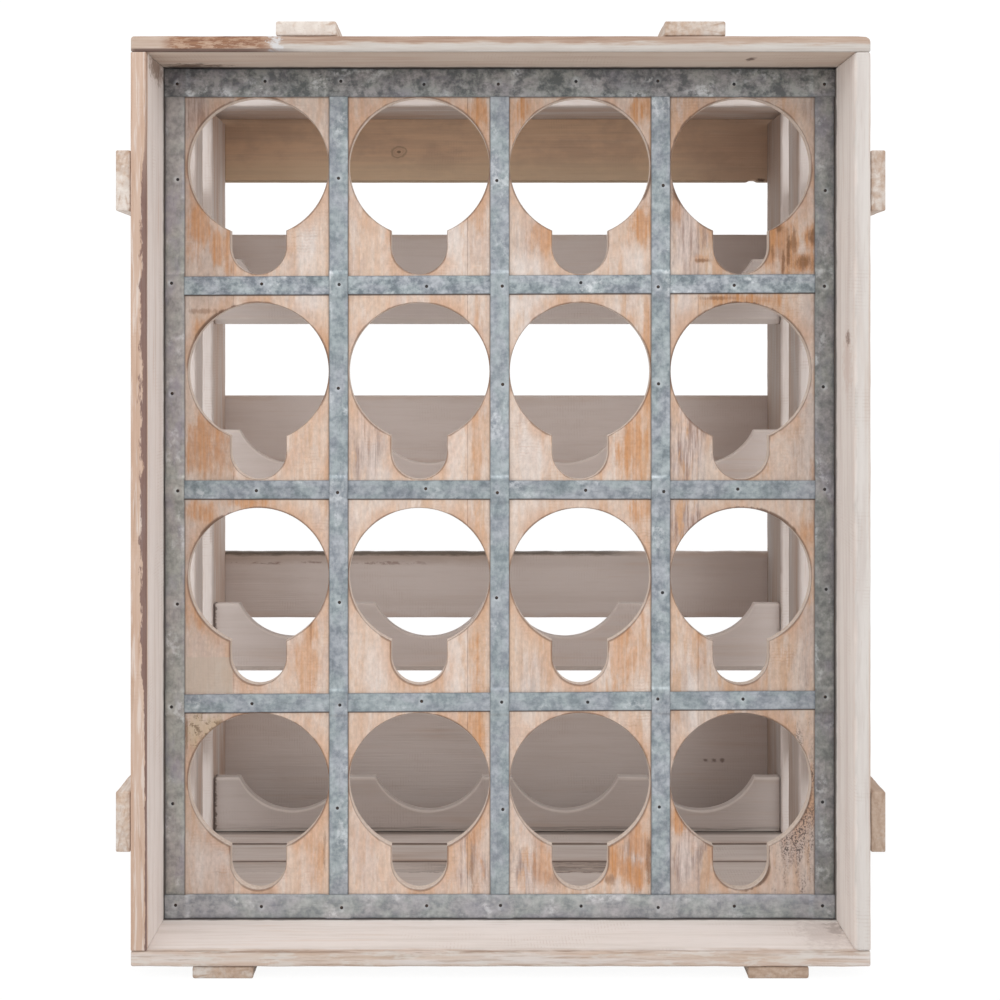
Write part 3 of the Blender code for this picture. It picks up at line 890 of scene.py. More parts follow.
cradle_board = limewashed_wood("cradle_board", (0.68, 0.58, 0.52), (0.63, 0.525, 0.465), cradle_marks_and_painted_light,
                               dark=(0.42, 0.32, 0.27), wash=(0.70, 0.63, 0.60), grime=(0.66, 0.59, 0.555),
                               ring_width=0.006, wear=0.10, saw_depth=0.4, open_pores=0.08)


def scalloped_top(node, depth, half):
    """The height of a cradle's upper edge: its full height, cut down by a circle under each bottle."""
    low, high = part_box(node)
    height = high[2] - low[2]
    centre_height = height - depth + scallop_radius

    def top(places):
        beside = np.abs(low[0] + places[:, None] - column_places[None, :]).min(axis=1)
        cut = centre_height - np.sqrt(np.maximum(scallop_radius**2 - beside**2, 0))
        return np.where(beside < half, np.minimum(cut, height), height)

    return top


for row, tone in enumerate((0.95, 1.13, 1.04, 0.86), 1):
    name = f"bottle_cradle_{row}"
    start_x, end_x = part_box(name)[0][0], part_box(name)[1][0]
    depth = scallop_depths[row - 1]
    half = np.sqrt(scallop_radius**2 - (scallop_radius - depth) ** 2)
    across_scallops = np.linspace(-half, half, 41)
    corners = (column_places[:, None] + across_scallops[None, :]).ravel() - start_x
    planed = (2,) if row < 4 else ()
    sizes = [0.7, 0.7, cradle_chamfer / 0.0009 if planed else 0.7, 0.7]
    dress_board(
        name,
        cradle_board,
        40 + row,
        (tone, 0.20, 0.4),
        easing=0.0009,
        top_line=scalloped_top(name, depth, half),
        extra_stations=corners[(corners > 0.002) & (corners < end_x - start_x - 0.002)],
        chamfered=planed,
        corner_sizes=sizes,
    )


# Keyhole panel
# Four upright boards butted edge to edge behind the mouth, cut through with sixteen keyholes. It was washed
# after cutting, so the wash is thin and the wood round the holes stays orange.

hole_radius = 0.0402
hole_crown = 0.0391
slot_radius = 0.0159
slot_drop = 0.0619
row_pitch = 0.1173333
top_slot_bottom = 0.3837
slot_bottoms = top_slot_bottom - row_pitch * np.arange(4)
rim_rounding = 0.0007
cutter_overshoot = 0.002
plank_easing = 0.0002
seam_closing = 0.00012
hole_points = 72
slot_points = 22
row_rises = {"strip_row_1": 0.0014, "strip_row_2": 0.0, "strip_row_3": 0.0022}
uprights = ["strip_left", "strip_column_1", "strip_column_2", "strip_column_3", "strip_right"]
plank_looks = {"panel_plank_1": (0.86, 0.35), "panel_plank_2": (0.93, 0.45), "panel_plank_3": (0.90, 0.45),
               "panel_plank_4": (0.82, 0.42)}


front_y, back_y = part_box("panel_plank_2")[0][1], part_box("panel_plank_2")[1][1]


def keyhole_cutter(name, centre_x, slot_bottom):
    """A closed keyhole prism that flares at both faces of the panel, so the edge it leaves is rounded.

    The outline is an arc of the round hole, a little flat over its upper half, and a half circle at the
    foot of the slot. Its radii grow by the rounding near the faces, along a quarter circle.
    """
    turns = np.linspace(0.02, 1, 4) * np.pi / 2
    swell = rim_rounding * (1 - np.sin(turns))
    depth = rim_rounding * (1 - np.cos(turns))
    start, end = front_y - cutter_overshoot, back_y + cutter_overshoot
    y = np.concatenate([[start], front_y + depth, back_y - depth[::-1], [end]])
    grow = np.concatenate([[swell[0]], swell, swell[::-1], [swell[0]]])[:, None]
    corner = np.arcsin((slot_radius + grow) / (hole_radius + grow)) - np.pi / 2
    around = corner + (np.pi - 2 * corner) * np.linspace(0, 1, hole_points)[None, :]
    under = np.linspace(np.pi, 2 * np.pi, slot_points)[None, :]
    x = np.concatenate([(hole_radius + grow) * np.cos(around), (slot_radius + grow) * np.cos(under)], axis=1)
    upward = (hole_radius + grow) * np.sin(around)
    upward = np.where(upward > 0, upward * hole_crown / hole_radius, upward)
    z = np.concatenate([slot_drop + upward, slot_radius + (slot_radius + grow) * np.sin(under)], axis=1)
    stations, count = x.shape
    points = np.stack([centre_x + x, np.broadcast_to(y[:, None], x.shape), slot_bottom + z], axis=-1)
    sides, _ = tube_faces(stations, count)
    ends = np.arange(count)
    mesh = bpy.data.meshes.new(name)
    faces = sides[:, ::-1].tolist() + [ends.tolist(), (ends[::-1] + (stations - 1) * count).tolist()]
    mesh.from_pydata(points.reshape(-1, 3).tolist(), [], faces)
    return bpy.data.objects.new(name, mesh)


keyholes = [
    keyhole_cutter(f"keyhole_{row}_{column}", centre_x, slot_bottom)
    for row, slot_bottom in enumerate(slot_bottoms)
    for column, centre_x in enumerate(column_places)
]

near_keyhole, given, result = new_group("distance from a keyhole", [("Place", *at_origin)], ["Distance"])
x, _, z = parts(given["Place"])
across = (x + 3 * column_pitch) % column_pitch
across = across - column_pitch / 2
cell_foot = slot_bottoms[-1] - 0.009
height = (z + (row_pitch - cell_foot)) % row_pitch
height = height - 0.009
above_hole = height - slot_drop
above_hole = work("MAXIMUM", above_hole, above_hole * (hole_radius / hole_crown))
clamped = add(near_keyhole, "ShaderNodeClamp", 0, {0: height, 1: slot_radius, 2: slot_drop})
above_slot = height - clamped
gaps = []
for upward, radius in ((above_hole, hole_radius), (above_slot, slot_radius)):
    squares = times_add(across, across, upward * upward)
    gaps.append(work("SQRT", squares) - radius)
send(work("MINIMUM", *gaps), result["Distance"])

spots_y = -0.0952
orange_spots = (
    (-11.5, 476, 8, 14, 1), (12.5, 478, 9, 12, 1), (79.5, 478, 9, 12, 1), (80, 412, 9, 18, 1),
    (-171.5, 412, 9, 20, 1), (-168, 285, 14, 20, 0.9), (76, 285, 12, 22, 1), (-172, 248, 11, 8, 1),
    (79.5, 248, 10, 12, 0.9), (74.5, 41, 16, 10, 1), (80, 60, 8, 12, 0.8), (-76, 478, 8, 12, 0.4),
    (156, 405, 14, 14, 1), (-167, 278, 14, 14, 0.8), (81, 170, 7, 20, 0.5), (179, 406, 7, 11, 0.9),
    (173.5, 390.5, 13, 8, 0.9), (164, 396, 6, 18, 0.9), (-173.5, 411, 8, 22, 0.9), (-159, 398, 9, 18, 0.9),
    (163.7, 402, 10, 18, 0.8), (115.7, 392.5, 6, 3, 0.7), (140, 369, 26, 5, 1), (-145.6, 253, 14, 4.5, 0.9),
    (-171.3, 197, 8, 24, 0.7), (65.9, 47, 7, 16, 1), (24, 46, 9, 15, 0.7), (101.9, 71, 6, 12, 0.9),
    (-13, 110, 5, 90, 0.9), (-13, 300, 4, 80, 0.6), (-12, 440, 6, 45, 0.6), (87, 409, 5, 14, 0.6),
    (26, 406, 10, 13, 0.8), (78, 280, 8, 40, 0.8), (70, 170, 9, 40, 0.8), (84, 330, 4, 50, 0.7),
    (-166.5, 352, 13, 8, 0.7), (-98, 265, 5, 22, 0.5), (-110, 160, 10, 35, 0.7), (182, 268, 5, 22, 0.6),
    (180, 235, 8, 12, 0.6), (114, 180, 4, 20, 0.7), (156, 395, 6, 12, 0.8), (11, 470, 10, 20, 0.6),
    (-86, 475, 5, 20, 0.5), (-106, 50, 10, 16, 0.6), (101, 420, 4, 10, 0.5), (-100, 345, 6, 10, 0.5),
)
burnt_rims = (
    (-166, 460, 16, 20, 0.4), (-166, 356, 20, 18, 1), (-166, 240, 20, 22, 1), (157, 245, 30, 12, 1),
    (137, 362, 20, 8, 0.8), (150, 40, 14, 14, 1), (105, 468, 12, 12, 0.8), (84, 440, 6, 30, 0.8),
    (-100, 330, 6, 30, 0.7), (100, 420, 6, 16, 0.9),
)
brown_spots = (
    (-169, 133.5, 10, 1.2, 0.9), (-179, 121.5, 1.2, 12, 0.8), (-160, 126, 3, 4, 0.8),
    (165.2, 396, 1.6, 14, 0.9), (160, 410, 3, 3, 0.8), (156, 396, 1.2, 10, 0.6), (101, 429, 3, 4, 0.9),
    (178.6, 405, 3.4, 6, 0.8), (173.5, 390.5, 7, 5, 0.8), (162, 390, 1.6, 10, 0.8), (85, 46, 2, 16, 0.7),
    (115.7, 391.5, 6, 1.4, 0.7), (-170, 362.5, 11, 2, 0.5), (-155.5, 350, 2.4, 6, 0.7), (63, 38, 4, 4, 0.6),
    (-16, 45, 1.4, 18, 0.6), (125, 370, 12, 1.4, 0.6), (168, 402, 2.2, 10, 0.7), (-146, 40, 4, 3, 0.6),
    (-108, 185, 1.2, 14, 0.5), (-100, 56, 1.2, 14, 0.5), (33, 38, 7, 5, 0.4), (99, 431, 3, 6, 0.4),
)
grey_spots = (
    (17.6, 41, 13, 10, 0.9), (-17, 41, 11, 11, 0.7), (105, 45, 14, 22, 1), (-74.5, 277, 14, 16, 0.9),
    (108, 277, 12, 14, 0.8), (104, 250, 10, 10, 0.8), (-166, 464, 16, 20, 0.8), (178, 478, 8, 12, 0.9),
    (-170, 370, 12, 8, 0.5), (170, 77, 17, 46, 1), (103, 476, 10, 20, 0.8), (100, 420, 8, 30, 0.7),
    (-174.2, 430, 16, 20, 0.7), (105, 140, 10, 30, 0.6), (179, 360, 10, 20, 0.8), (70, 470, 14, 20, 0.4),
    (179, 180, 10, 40, 0.7), (-172, 412, 12, 24, 0.6), (-167, 392, 14, 14, 0.6), (-167, 283, 14, 22, 1),
    (-174.2, 474, 18, 18, 0.95), (-174.2, 225, 12, 26, 0.6), (180, 60, 14, 40, 0.8),
    (105, 250, 10, 30, 0.6), (105, 405, 10, 20, 0.6), (178, 290, 12, 60, 0.8), (178, 440, 10, 40, 0.5),
    (104, 360, 8, 16, 0.6), (174, 100, 16, 30, 0.5),
)
rough_spots = (
    (106, 405, 11, 30, 0.8), (107, 285, 12.5, 26, 1), (105, 240, 11, 20, 1), (15.5, 45, 11, 20, 0.8),
    (76, 50, 11, 22, 0.8), (-16, 50, 11, 22, 0.8), (107, 60, 12, 28, 0.8), (-76, 288, 12, 24, 0.6),
    (16, 405, 12, 20, 0.4), (160, 400, 8, 18, 0.6), (-174, 474, 14, 14, 0.6), (18, 156, 12, 20, 0.4),
    (176, 165, 10, 20, 0.4),
)
white_spots = (
    (13, 366, 11, 10, 1), (14, 388, 13, 10, 1), (-79, 248, 10, 12, 0.4), (-166, 48, 15, 22, 0.6),
    (-108, 369, 10, 8, 0.7), (104, 368, 8, 8, 0.5), (-26, 400, 7.5, 30, 0.9), (-26, 280, 7, 30, 0.9),
    (-26, 165, 7, 30, 0.9), (-110, 400, 6, 18, 0.9), (20, 380, 14, 12, 0.8), (18, 270, 12, 40, 0.7),
    (76, 390, 10, 16, 0.7), (-70, 270, 9, 30, 0.6), (-75, 350, 10, 14, 0.6), (25, 352, 16, 14, 0.8),
    (110, 140, 4, 20, 0.8), (108, 50, 5, 20, 0.7), (-70, 155, 12, 20, 0.6), (16, 140, 10, 16, 0.7),
)


def spots(place, frayed, table):
    """The strongest of a table's ragged spots on the panel.

    Each has its x and z, half its width and height, all in millimetres, and its strength.
    """
    total = None
    for x, z, half_width, half_height, strength in table:
        size = (half_width / 1000, 1.0, half_height / 1000)
        mask = spot_mask(place, (x / 1000, spots_y, z / 1000), size, frayed) * strength
        total = mask if total is None else work("MAXIMUM", total, mask)
    return total


def panel_layers(colour, place, fibres):
    """Wash left in smears, orange wood round the keyholes and in streaks, a patch, bark, black flecks, and
    painted shadow at the strips.

    These are on the front of the panel, and its back stays plain.
    """
    plain = colour
    x, y, z = parts(place)
    frayed = cloud(place, (210.0, 60.0, 60.0), 4.0, 0.62)
    colour = blend(spots(place, frayed, grey_spots) * 0.62, colour, (0.44, 0.34, 0.30))
    colour = blend(ramp(x, -0.1515, -0.1525), colour, blend(0.22, colour, (0.40, 0.27, 0.21)))

    blotches = cloud(place, (64.0, 60.0, 24.0), 5.0, 0.72, 0.4)
    colour = blend(ramp(blotches, 0.50, 0.60, 0.0, 0.42), colour, (0.60, 0.45, 0.385))
    smeared = ramp(cloud(place, (115.0, 60.0, 22.0), 6.0, 0.70), 0.50, 0.56)
    colour = blend(smeared * 0.30, colour, (0.80, 0.72, 0.67))
    amber = ramp(cloud(place, (84.0, 90.0, 13.0), 5.0, 0.68), 0.54, 0.62) * ramp(x, -0.12, 0.12, 0.24, 0.50)
    colour = blend(amber, colour, (0.62, 0.36, 0.20))
    white = spots(place, frayed, white_spots)
    colour = blend(white * 0.65, colour, (0.80, 0.73, 0.69))

    away = place_group(near_keyhole, {"Place": place})["Distance"]
    patchy = ramp(cloud(place, (45.0, 45.0, 26.0), 3.0, 0.6), 0.40, 0.58)
    warm = ramp(away, 0.012, 0.0) * patchy
    colour = blend(warm * 0.55, colour, (0.64, 0.36, 0.21))
    lined = cloud(place, (420.0, 60.0, 22.0), 5.0, 0.75)
    rough = blend(ramp(lined, 0.38, 0.62), (0.25, 0.16, 0.14), (0.74, 0.62, 0.57))
    rough = blend(ramp(cloud(place, (120.0, 60.0, 20.0), 4.0, 0.65), 0.56, 0.66), rough, (0.60, 0.33, 0.17))
    colour = blend(spots(place, frayed, rough_spots) * 0.78, colour, rough)
    orange = spots(place, frayed, orange_spots)
    streaky = orange * times_add(fibres, 0.6, 0.6)
    colour = blend(streaky * 0.80, colour, (0.60, 0.28, 0.11))
    brown = spots(place, cloud(place, (380.0, 60.0, 110.0), 5.0, 0.78), brown_spots)
    colour = blend(brown * 0.9, colour, (0.20, 0.085, 0.030))

    sawn = work("SINE", times_add(z, 3600.0, frayed * 14.0))
    where = ramp(cloud(place, (26.0, 26.0, 34.0), 3.0, 0.6), 0.52, 0.66)
    broken = ramp(cloud(place, (150.0, 60.0, 620.0), 3.0, 0.6), 0.40, 0.62)
    sawn = ramp(sawn, 0.0, 0.9) * (where * broken)
    colour = blend(sawn * 0.26, colour, (0.50, 0.26, 0.16))
    mottled = cloud(place, (520.0, 60.0, 300.0), 4.0, 0.68)
    mottled = times_add(mottled, 0.62, 0.69)
    colour = blend(1.0, colour, grey(mottled), "MULTIPLY")

    patch = ramp(x, -0.1524, -0.1530) * ramp(z, 0.1440, 0.1446) * ramp(z, 0.1650, 0.1644)
    colour = blend(patch * 0.65, colour, (0.60, 0.50, 0.41))

    bark = spot_mask(place, (-0.1668, spots_y, 0.1215), (0.014, 1.0, 0.013), frayed)
    crumbs = ramp(cloud(place, (300.0, 300.0, 300.0), 4.0, 0.7), 0.50, 0.60)
    colour = blend(bark * 0.55, colour, (0.62, 0.48, 0.30))
    colour = blend(bark * crumbs * 0.8, colour, (0.22, 0.14, 0.08))
    flecked = spot_mask(place, (0.1690, spots_y, 0.0770), (0.017, 1.0, 0.046), frayed)
    specks = ramp(cloud(place, (860.0, 860.0, 760.0), 4.0, 0.7), 0.48, 0.56)
    colour = blend(flecked * specks * 0.85, colour, (0.09, 0.065, 0.06))

    # Painted shadow: dark lines on the panel just under each row strip, beside each upright strip and under the
    # top strip.
    for row, rise in row_rises.items():
        low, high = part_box(row)
        slope = rise / (high[0] - low[0])
        foot = times_add(x, slope, low[2] + rise / 2)
        under = foot - z
        under = ramp(under, 0.0009, 0.0004) * ramp(under, -0.0006, -0.0002)
        colour = blend(under * 0.85, colour, (0.085, 0.060, 0.050))
    for name in uprights:
        low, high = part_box(name)
        beside = abs(x - (low[0] + high[0]) / 2)
        beside = ramp(beside, (high[0] - low[0]) / 2 + 0.0007, (high[0] - low[0]) / 2 + 0.0001)
        colour = blend(beside * 0.55, colour, (0.16, 0.11, 0.09))
    below_top = ramp(z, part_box("strip_top")[0][2] - 0.0008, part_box("strip_top")[0][2] - 0.0002)
    colour = blend(below_top * 0.6, colour, (0.12, 0.085, 0.07))
    colour = blend(ramp(y, front_y + 0.0020, front_y + 0.0040), colour, plain)

    wall = blend(fibres, (0.86, 0.74, 0.65), (0.70, 0.56, 0.47))
    colour = blend(ramp(away, 0.0003, 0.0), colour, wall)
    burnt = work("MAXIMUM", spots(place, frayed, burnt_rims), patchy * 0.45)
    reach = times_add(burnt, 0.0011, 0.0004)
    rim = ramp(away / reach, 1.5, 0.6) * ramp(y, front_y + 0.0012, front_y + 0.0006)
    rim = rim * times_add(burnt, 0.45, 0.42)
    return blend(rim, colour, (0.15, 0.08, 0.05))


panel_board = limewashed_wood("panel_board", (0.73, 0.53, 0.40), (0.64, 0.40, 0.26), panel_layers,
                              dark=(0.56, 0.30, 0.15), wash=(0.77, 0.65, 0.57), grime=(0.72, 0.58, 0.50),
                              ring_width=0.007, saw_depth=0.6, softness=0.19)


def cut_plank(name, seed, look):
    """Cuts the keyholes out of a panel board, and writes its attributes again from each point's place."""
    low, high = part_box(name)
    middle = (low[0] + high[0]) / 2
    wider = np.array([1 + 2 * seam_closing / (high[0] - low[0]), 1, 1])

    def closed_up(points):
        return (points - [middle, 0, 0]) * wider + [middle, 0, 0]

    plank = board_mesh(
        name, panel_board, seed, (look[0], look[1], look[1]), plank_easing, reshape=closed_up, spacing=0.05
    )
    crossed = bpy.data.collections.new(f"{name} cutters")
    for cutter in keyholes:
        places_x = [corner[0] for corner in cutter.bound_box]
        if min(places_x) < high[0] and max(places_x) > low[0]:
            crossed.objects.link(cutter)
    bpy.context.scene.collection.children.link(crossed)
    cut = plank.modifiers.new("keyholes", "BOOLEAN")
    cut.operation = "DIFFERENCE"
    cut.operand_type = "COLLECTION"
    cut.collection = crossed
    cut.solver = "EXACT"
    evaluated = plank.evaluated_get(bpy.context.evaluated_depsgraph_get())
    mesh = bpy.data.meshes.new_from_object(evaluated)
    plank.modifiers.clear()
    plank.data = mesh
    bpy.data.collections.remove(crossed)
    places = np.empty(len(mesh.vertices) * 3)
    mesh.vertices.foreach_get("co", places)
    places = places.reshape(-1, 3)
    for layer in ("grain", "edge", "look"):
        if layer in mesh.attributes:
            mesh.attributes.remove(mesh.attributes[layer])
    from_middle = places - [(low[0] + high[0]) / 2, (low[1] + high[1]) / 2, 0]
    write_attribute(plank, "grain", from_middle[:, [2, 0, 1]] + grain_shift * seed)
    write_attribute(plank, "edge", np.zeros(len(places)))
    flat = np.ones(len(places))
    write_attribute(plank, "look", np.stack([flat * look[0], flat * look[1], flat * 0], axis=1))
    mesh.shade_smooth()
    mesh.set_sharp_from_angle(angle=np.radians(9))
    finish_piece(plank, name)


for seed, (name, look) in enumerate(plank_looks.items(), 51):
    cut_plank(name, seed, look)
for cutter in keyholes:
    bpy.data.objects.remove(cutter)


# Zinc strips
# Galvanised sheet cut in strips and nailed over the panel's joints: rows first, then columns and sides
# stepping up over them, then the top and bottom strips over the ends of the uprights.

lap_rise = 0.0009
lap_ramp = 0.0022
lap_margin = 0.0009
sheet_step = 0.0008
sheet_across = 19
nail_wander = 0.0018
cell_nail_wander = 2.4 * nail_wander
trim_share = 0.018
trim_length = 0.07
back_points = 5
strip_thickness = 0.0006
front_margin = 0.00006
back_margin = 0.00002
edge_curl = 0.00012
sheet_wave_height = 0.00005
sheet_wave_length = 0.05
dish_depth = 0.00034
dish_radius = 0.0015
ring_height = 0.00008
ring_radius = 0.0024
ring_width = 0.0007
bright_radius = 0.0021
head_sinking = 0.0003
keyhole_height = hole_crown + slot_drop
first_strip = 30

zinc, tree, shader = start_material("galvanised_zinc")
tone, warmth, nail_glint = parts(attribute(tree, "sheet", "Vector"))
roll = attribute(tree, "roll", "Vector")
from_middle = attribute(tree, "from_middle", "Fac")
mottling = attribute(tree, "mottling", "Fac")
patches = ramp(cloud(roll, (125.0, 125.0, 90.0), 4.0, 0.60), 0.34, 0.66)
flecks = ramp(cloud(roll, (330.0, 330.0, 90.0), 4.0, 0.66), 0.34, 0.66)
smudges = ramp(cloud(roll, (44.0, 60.0, 30.0), 3.0, 0.6), 0.54, 0.66)
smudges = smudges * ramp(cloud(roll, (280.0, 280.0, 90.0), 4.0, 0.66), 0.44, 0.62)
scratches = ramp(cloud(roll, (110.0, 700.0, 90.0), 3.0, 0.6), 0.56, 0.66)
level = times_add(patches, 0.55, times_add(flecks, 0.45, -0.5))
level = times_add(level, mottling, 0.5)
cold = blend(level, (0.190, 0.220, 0.245), (0.47, 0.505, 0.53))
dull = blend(level, (0.165, 0.160, 0.150), (0.44, 0.415, 0.385))
tinted = ramp(cloud(roll, (50.0, 90.0, 60.0), 3.0, 0.6), 0.50, 0.68)
dull = blend(tinted * 0.5, dull, (0.28, 0.255, 0.30))
colour = blend(warmth, cold, dull)
hue = ramp(cloud(roll, (38.0, 60.0, 60.0), 3.0, 0.6), 0.40, 0.60)
hue = blend(hue, (0.980, 1.010, 0.990), (1.020, 0.993, 1.015))
colour = blend(1.0, colour, hue, "MULTIPLY")
bright = smudges * mottling * 0.50
colour = blend(bright, colour, (0.80, 0.82, 0.84))
colour = blend(scratches * 0.16, colour, (0.10, 0.11, 0.12))
colour = blend(1.0, colour, grey(tone), "MULTIPLY")
# Painted highlight: the zinc round each nail is made lighter, as a glint on its dish.
colour = blend(nail_glint * 0.24, colour, (0.80, 0.82, 0.84))
# Painted shade along both edges of each strip.
colour = blend(ramp(from_middle, 0.86, 0.99, 0.0, 0.5), colour, (0.10, 0.105, 0.115))
send(colour, shader.inputs["Base Color"])
shader.inputs["Metallic"].default_value = 0.72
send(times_add(patches, -0.14, 0.50), shader.inputs["Roughness"])
bumps = cloud(roll, (60.0, 60.0, 60.0), 4.0, 0.62, 0.8)
height = times_add(bumps, 0.7, flecks * 0.10)
bump = add(tree, "ShaderNodeBump", 0, {"Height": height, "Strength": 0.35, "Distance": 0.0004})
send(bump, shader.inputs["Normal"])

nail_seats = []


def zinc_strip(node, order, upright, crossings, middles, tone, warmth, mottled):
    """A sheet worked out over a grid: its front rises over each crossing strip and is dished at each nail.

    The height away from the panel is the lap, a smooth step up beside each crossing, plus the sheet's
    thickness, less a bell-shaped dish and a low ring round it at every nail. The back follows without the
    dishes.
    """
    low, high = (np.array(corner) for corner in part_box(node))
    along, across = (2, 0) if upright else (0, 2)
    rise = row_rises.get(node, 0.0)
    length = high[along] - low[along]
    slope = rise / length
    width = high[across] - low[across] - rise
    centre = (low + high) / 2
    places = np.linspace(-length / 2, length / 2, round(length / sheet_step))
    shares = np.sin(np.linspace(-1, 1, sheet_across) * np.pi / 2)
    trimmed = width / 2 * (1 - trim_share * (1 + ripple(places, order * 3, trim_length)))
    front_across = trimmed[:, None] * shares[None, :]
    back_across = trimmed[:, None] * np.linspace(0.98, -0.98, back_points)[None, :]

    lap = np.zeros(len(places))
    for middle, half_span in crossings:
        beyond = np.clip((np.abs(places - middle) - half_span) / lap_ramp, 0, 1)
        lap = np.maximum(lap, lap_rise * (1 - beyond**2 * (3 - 2 * beyond)))
    marks = [middle for middle, _ in crossings] + list(middles)
    # The share of painted highlight round the nails at each point.
    dish = np.zeros(front_across.shape)
    nail_glint_mask = np.zeros(front_across.shape)
    for number, middle in enumerate(marks):
        stray = nail_wander if number < len(crossings) else cell_nail_wander
        astray = middle + stray * np.sin(5 * number + 7 * order)
        aside = nail_wander * np.cos(3 * number + 2 * order) * (1 if upright else -0.5)
        away = np.hypot(places[:, None] - astray, front_across - aside)
        dish += ring_height * np.exp(-(((away - ring_radius) / ring_width) ** 2))
        dish -= dish_depth * np.exp(-((away / dish_radius) ** 2))
        nail_glint_mask = np.maximum(nail_glint_mask, np.exp(-((away / bright_radius) ** 4)))
        seat = np.interp(astray, places, lap) + strip_thickness - head_sinking
        spot = centre.copy()
        spot[along] += astray
        spot[across] += aside + (0 if upright else slope * astray)
        spot[1] = high[1] - seat
        nail_seats.append(spot)
    curl = edge_curl * np.abs(shares[None, :]) ** 6
    uneven = sheet_wave_height * ripple(places, order * 5, sheet_wave_length)[:, None]
    front = lap[:, None] + strip_thickness - front_margin + dish - curl + uneven
    back = np.repeat(lap[:, None] + back_margin, back_points, axis=1)
    sideways = np.concatenate([front_across, back_across], axis=1)
    height = np.concatenate([front, back], axis=1)
    stations, count = sideways.shape
    points = np.zeros((stations * count + 2, 3))
    flat_along = np.repeat(places, count)
    points[:-2, along] = centre[along] + flat_along
    points[:-2, across] = centre[across] + sideways.ravel() + (0 if upright else slope * flat_along)
    points[:-2, 1] = high[1] - height.ravel()
    first_points = np.array([0, (stations - 1) * count])
    points[-2:] = points[first_points] * 0.5 + points[first_points + sheet_across - 1] * 0.5
    points[-2:, 1] = high[1] - (lap[[0, -1]] + strip_thickness / 2)
    faces = tube_faces(stations, count)
    if upright:
        faces = [part[:, ::-1] for part in faces]
    piece = make_piece(f"{node}_dressed", points, faces, zinc, sharp=50)
    nail_glint_masks = np.concatenate([nail_glint_mask, np.zeros(back.shape)], axis=1).ravel()
    ones = np.ones(len(points))
    write_attribute(piece, "sheet", np.stack([ones * tone, ones * warmth, np.append(nail_glint_masks, [0, 0])], axis=1))
    write_attribute(piece, "mottling", ones * mottled)
    run = np.append(flat_along, places[[0, -1]])
    write_attribute(
        piece, "roll", np.stack([run, np.append(sideways.ravel(), [0, 0]), ones * order * 0.37], axis=1)
    )
    write_attribute(
        piece, "from_middle", np.append(np.tile(np.abs(sideways[0]), stations), [0, 0]) / (width / 2)
    )
    finish_piece(piece, node)


# How light each strip is, how warm, and how mottled; the top strip is darker partly as painted shade under the
# top board
sheet_looks = {
    "strip_row_1": (0.98, 0.0, 1.3), "strip_row_2": (0.88, 0.0, 0.95), "strip_row_3": (0.98, 0.0, 0.8),
    "strip_left": (1.24, 0.90, 0.6), "strip_column_1": (1.00, 0.0, 0.85), "strip_column_2": (1.02, 0.0, 0.8),
    "strip_column_3": (0.99, 0.0, 0.95), "strip_right": (0.88, 0.70, 0.85), "strip_top": (0.76, 0.60, 1.6),
    "strip_bottom": (1.22, 0.35, 0.75),
}
for order, name in enumerate(row_rises, first_strip):
    zinc_strip(name, order, False, [], column_places, *sheet_looks[name])
for order, name in enumerate(uprights, first_strip + 3):
    low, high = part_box(name)
    middle_x, middle_z = (low[0] + high[0]) / 2, (low[2] + high[2]) / 2
    crossings = []
    for row, rise in reversed(row_rises.items()):
        row_low, row_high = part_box(row)
        height = row_high[2] - row_low[2] - rise
        slope = rise / (row_high[0] - row_low[0])
        crossings.append(
            ((row_low[2] + row_high[2]) / 2 + slope * middle_x - middle_z, height / 2 + lap_margin)
        )
    cell_middles = slot_bottoms + keyhole_height / 2 - middle_z
    zinc_strip(name, order, True, crossings, cell_middles, *sheet_looks[name])
over_uprights = [
    ((low[0] + high[0]) / 2, (high[0] - low[0]) / 2 + lap_margin) for low, high in map(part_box, uprights)
]
for order, name in enumerate(["strip_top", "strip_bottom"], first_strip + 8):
    zinc_strip(name, order, False, over_uprights, column_places, *sheet_looks[name])


# Nails
# Short steel clout nails: small dark heads set in the dishes of the zinc, and wider ones driven flush with
# the wood where each board or batten crosses another.

nail_steel, tree, shader = start_material("nail_steel")
rust = ramp(cloud(object_place(tree), (700.0, 700.0, 700.0), 3.0, 0.6), 0.45, 0.65)
send(blend(rust, (0.030, 0.030, 0.033), (0.075, 0.045, 0.03)), shader.inputs["Base Color"])
shader.inputs["Metallic"].default_value = 0.55
send(times_add(rust, 0.3, 0.38), shader.inputs["Roughness"])

head_turns = 10
head_depth = 0.0003
strip_nail_radius = 0.00095
strip_nail_crown = 0.0003
wood_nail_radius = 0.0016
back_nail_x = 0.1953
cap_nail_x = 0.1955
board_parts = {wall: ("front", "middle", "rear") for wall in ("left", "right", "top")}
board_parts["bottom"] = ("front", "middle", "narrow", "rear")


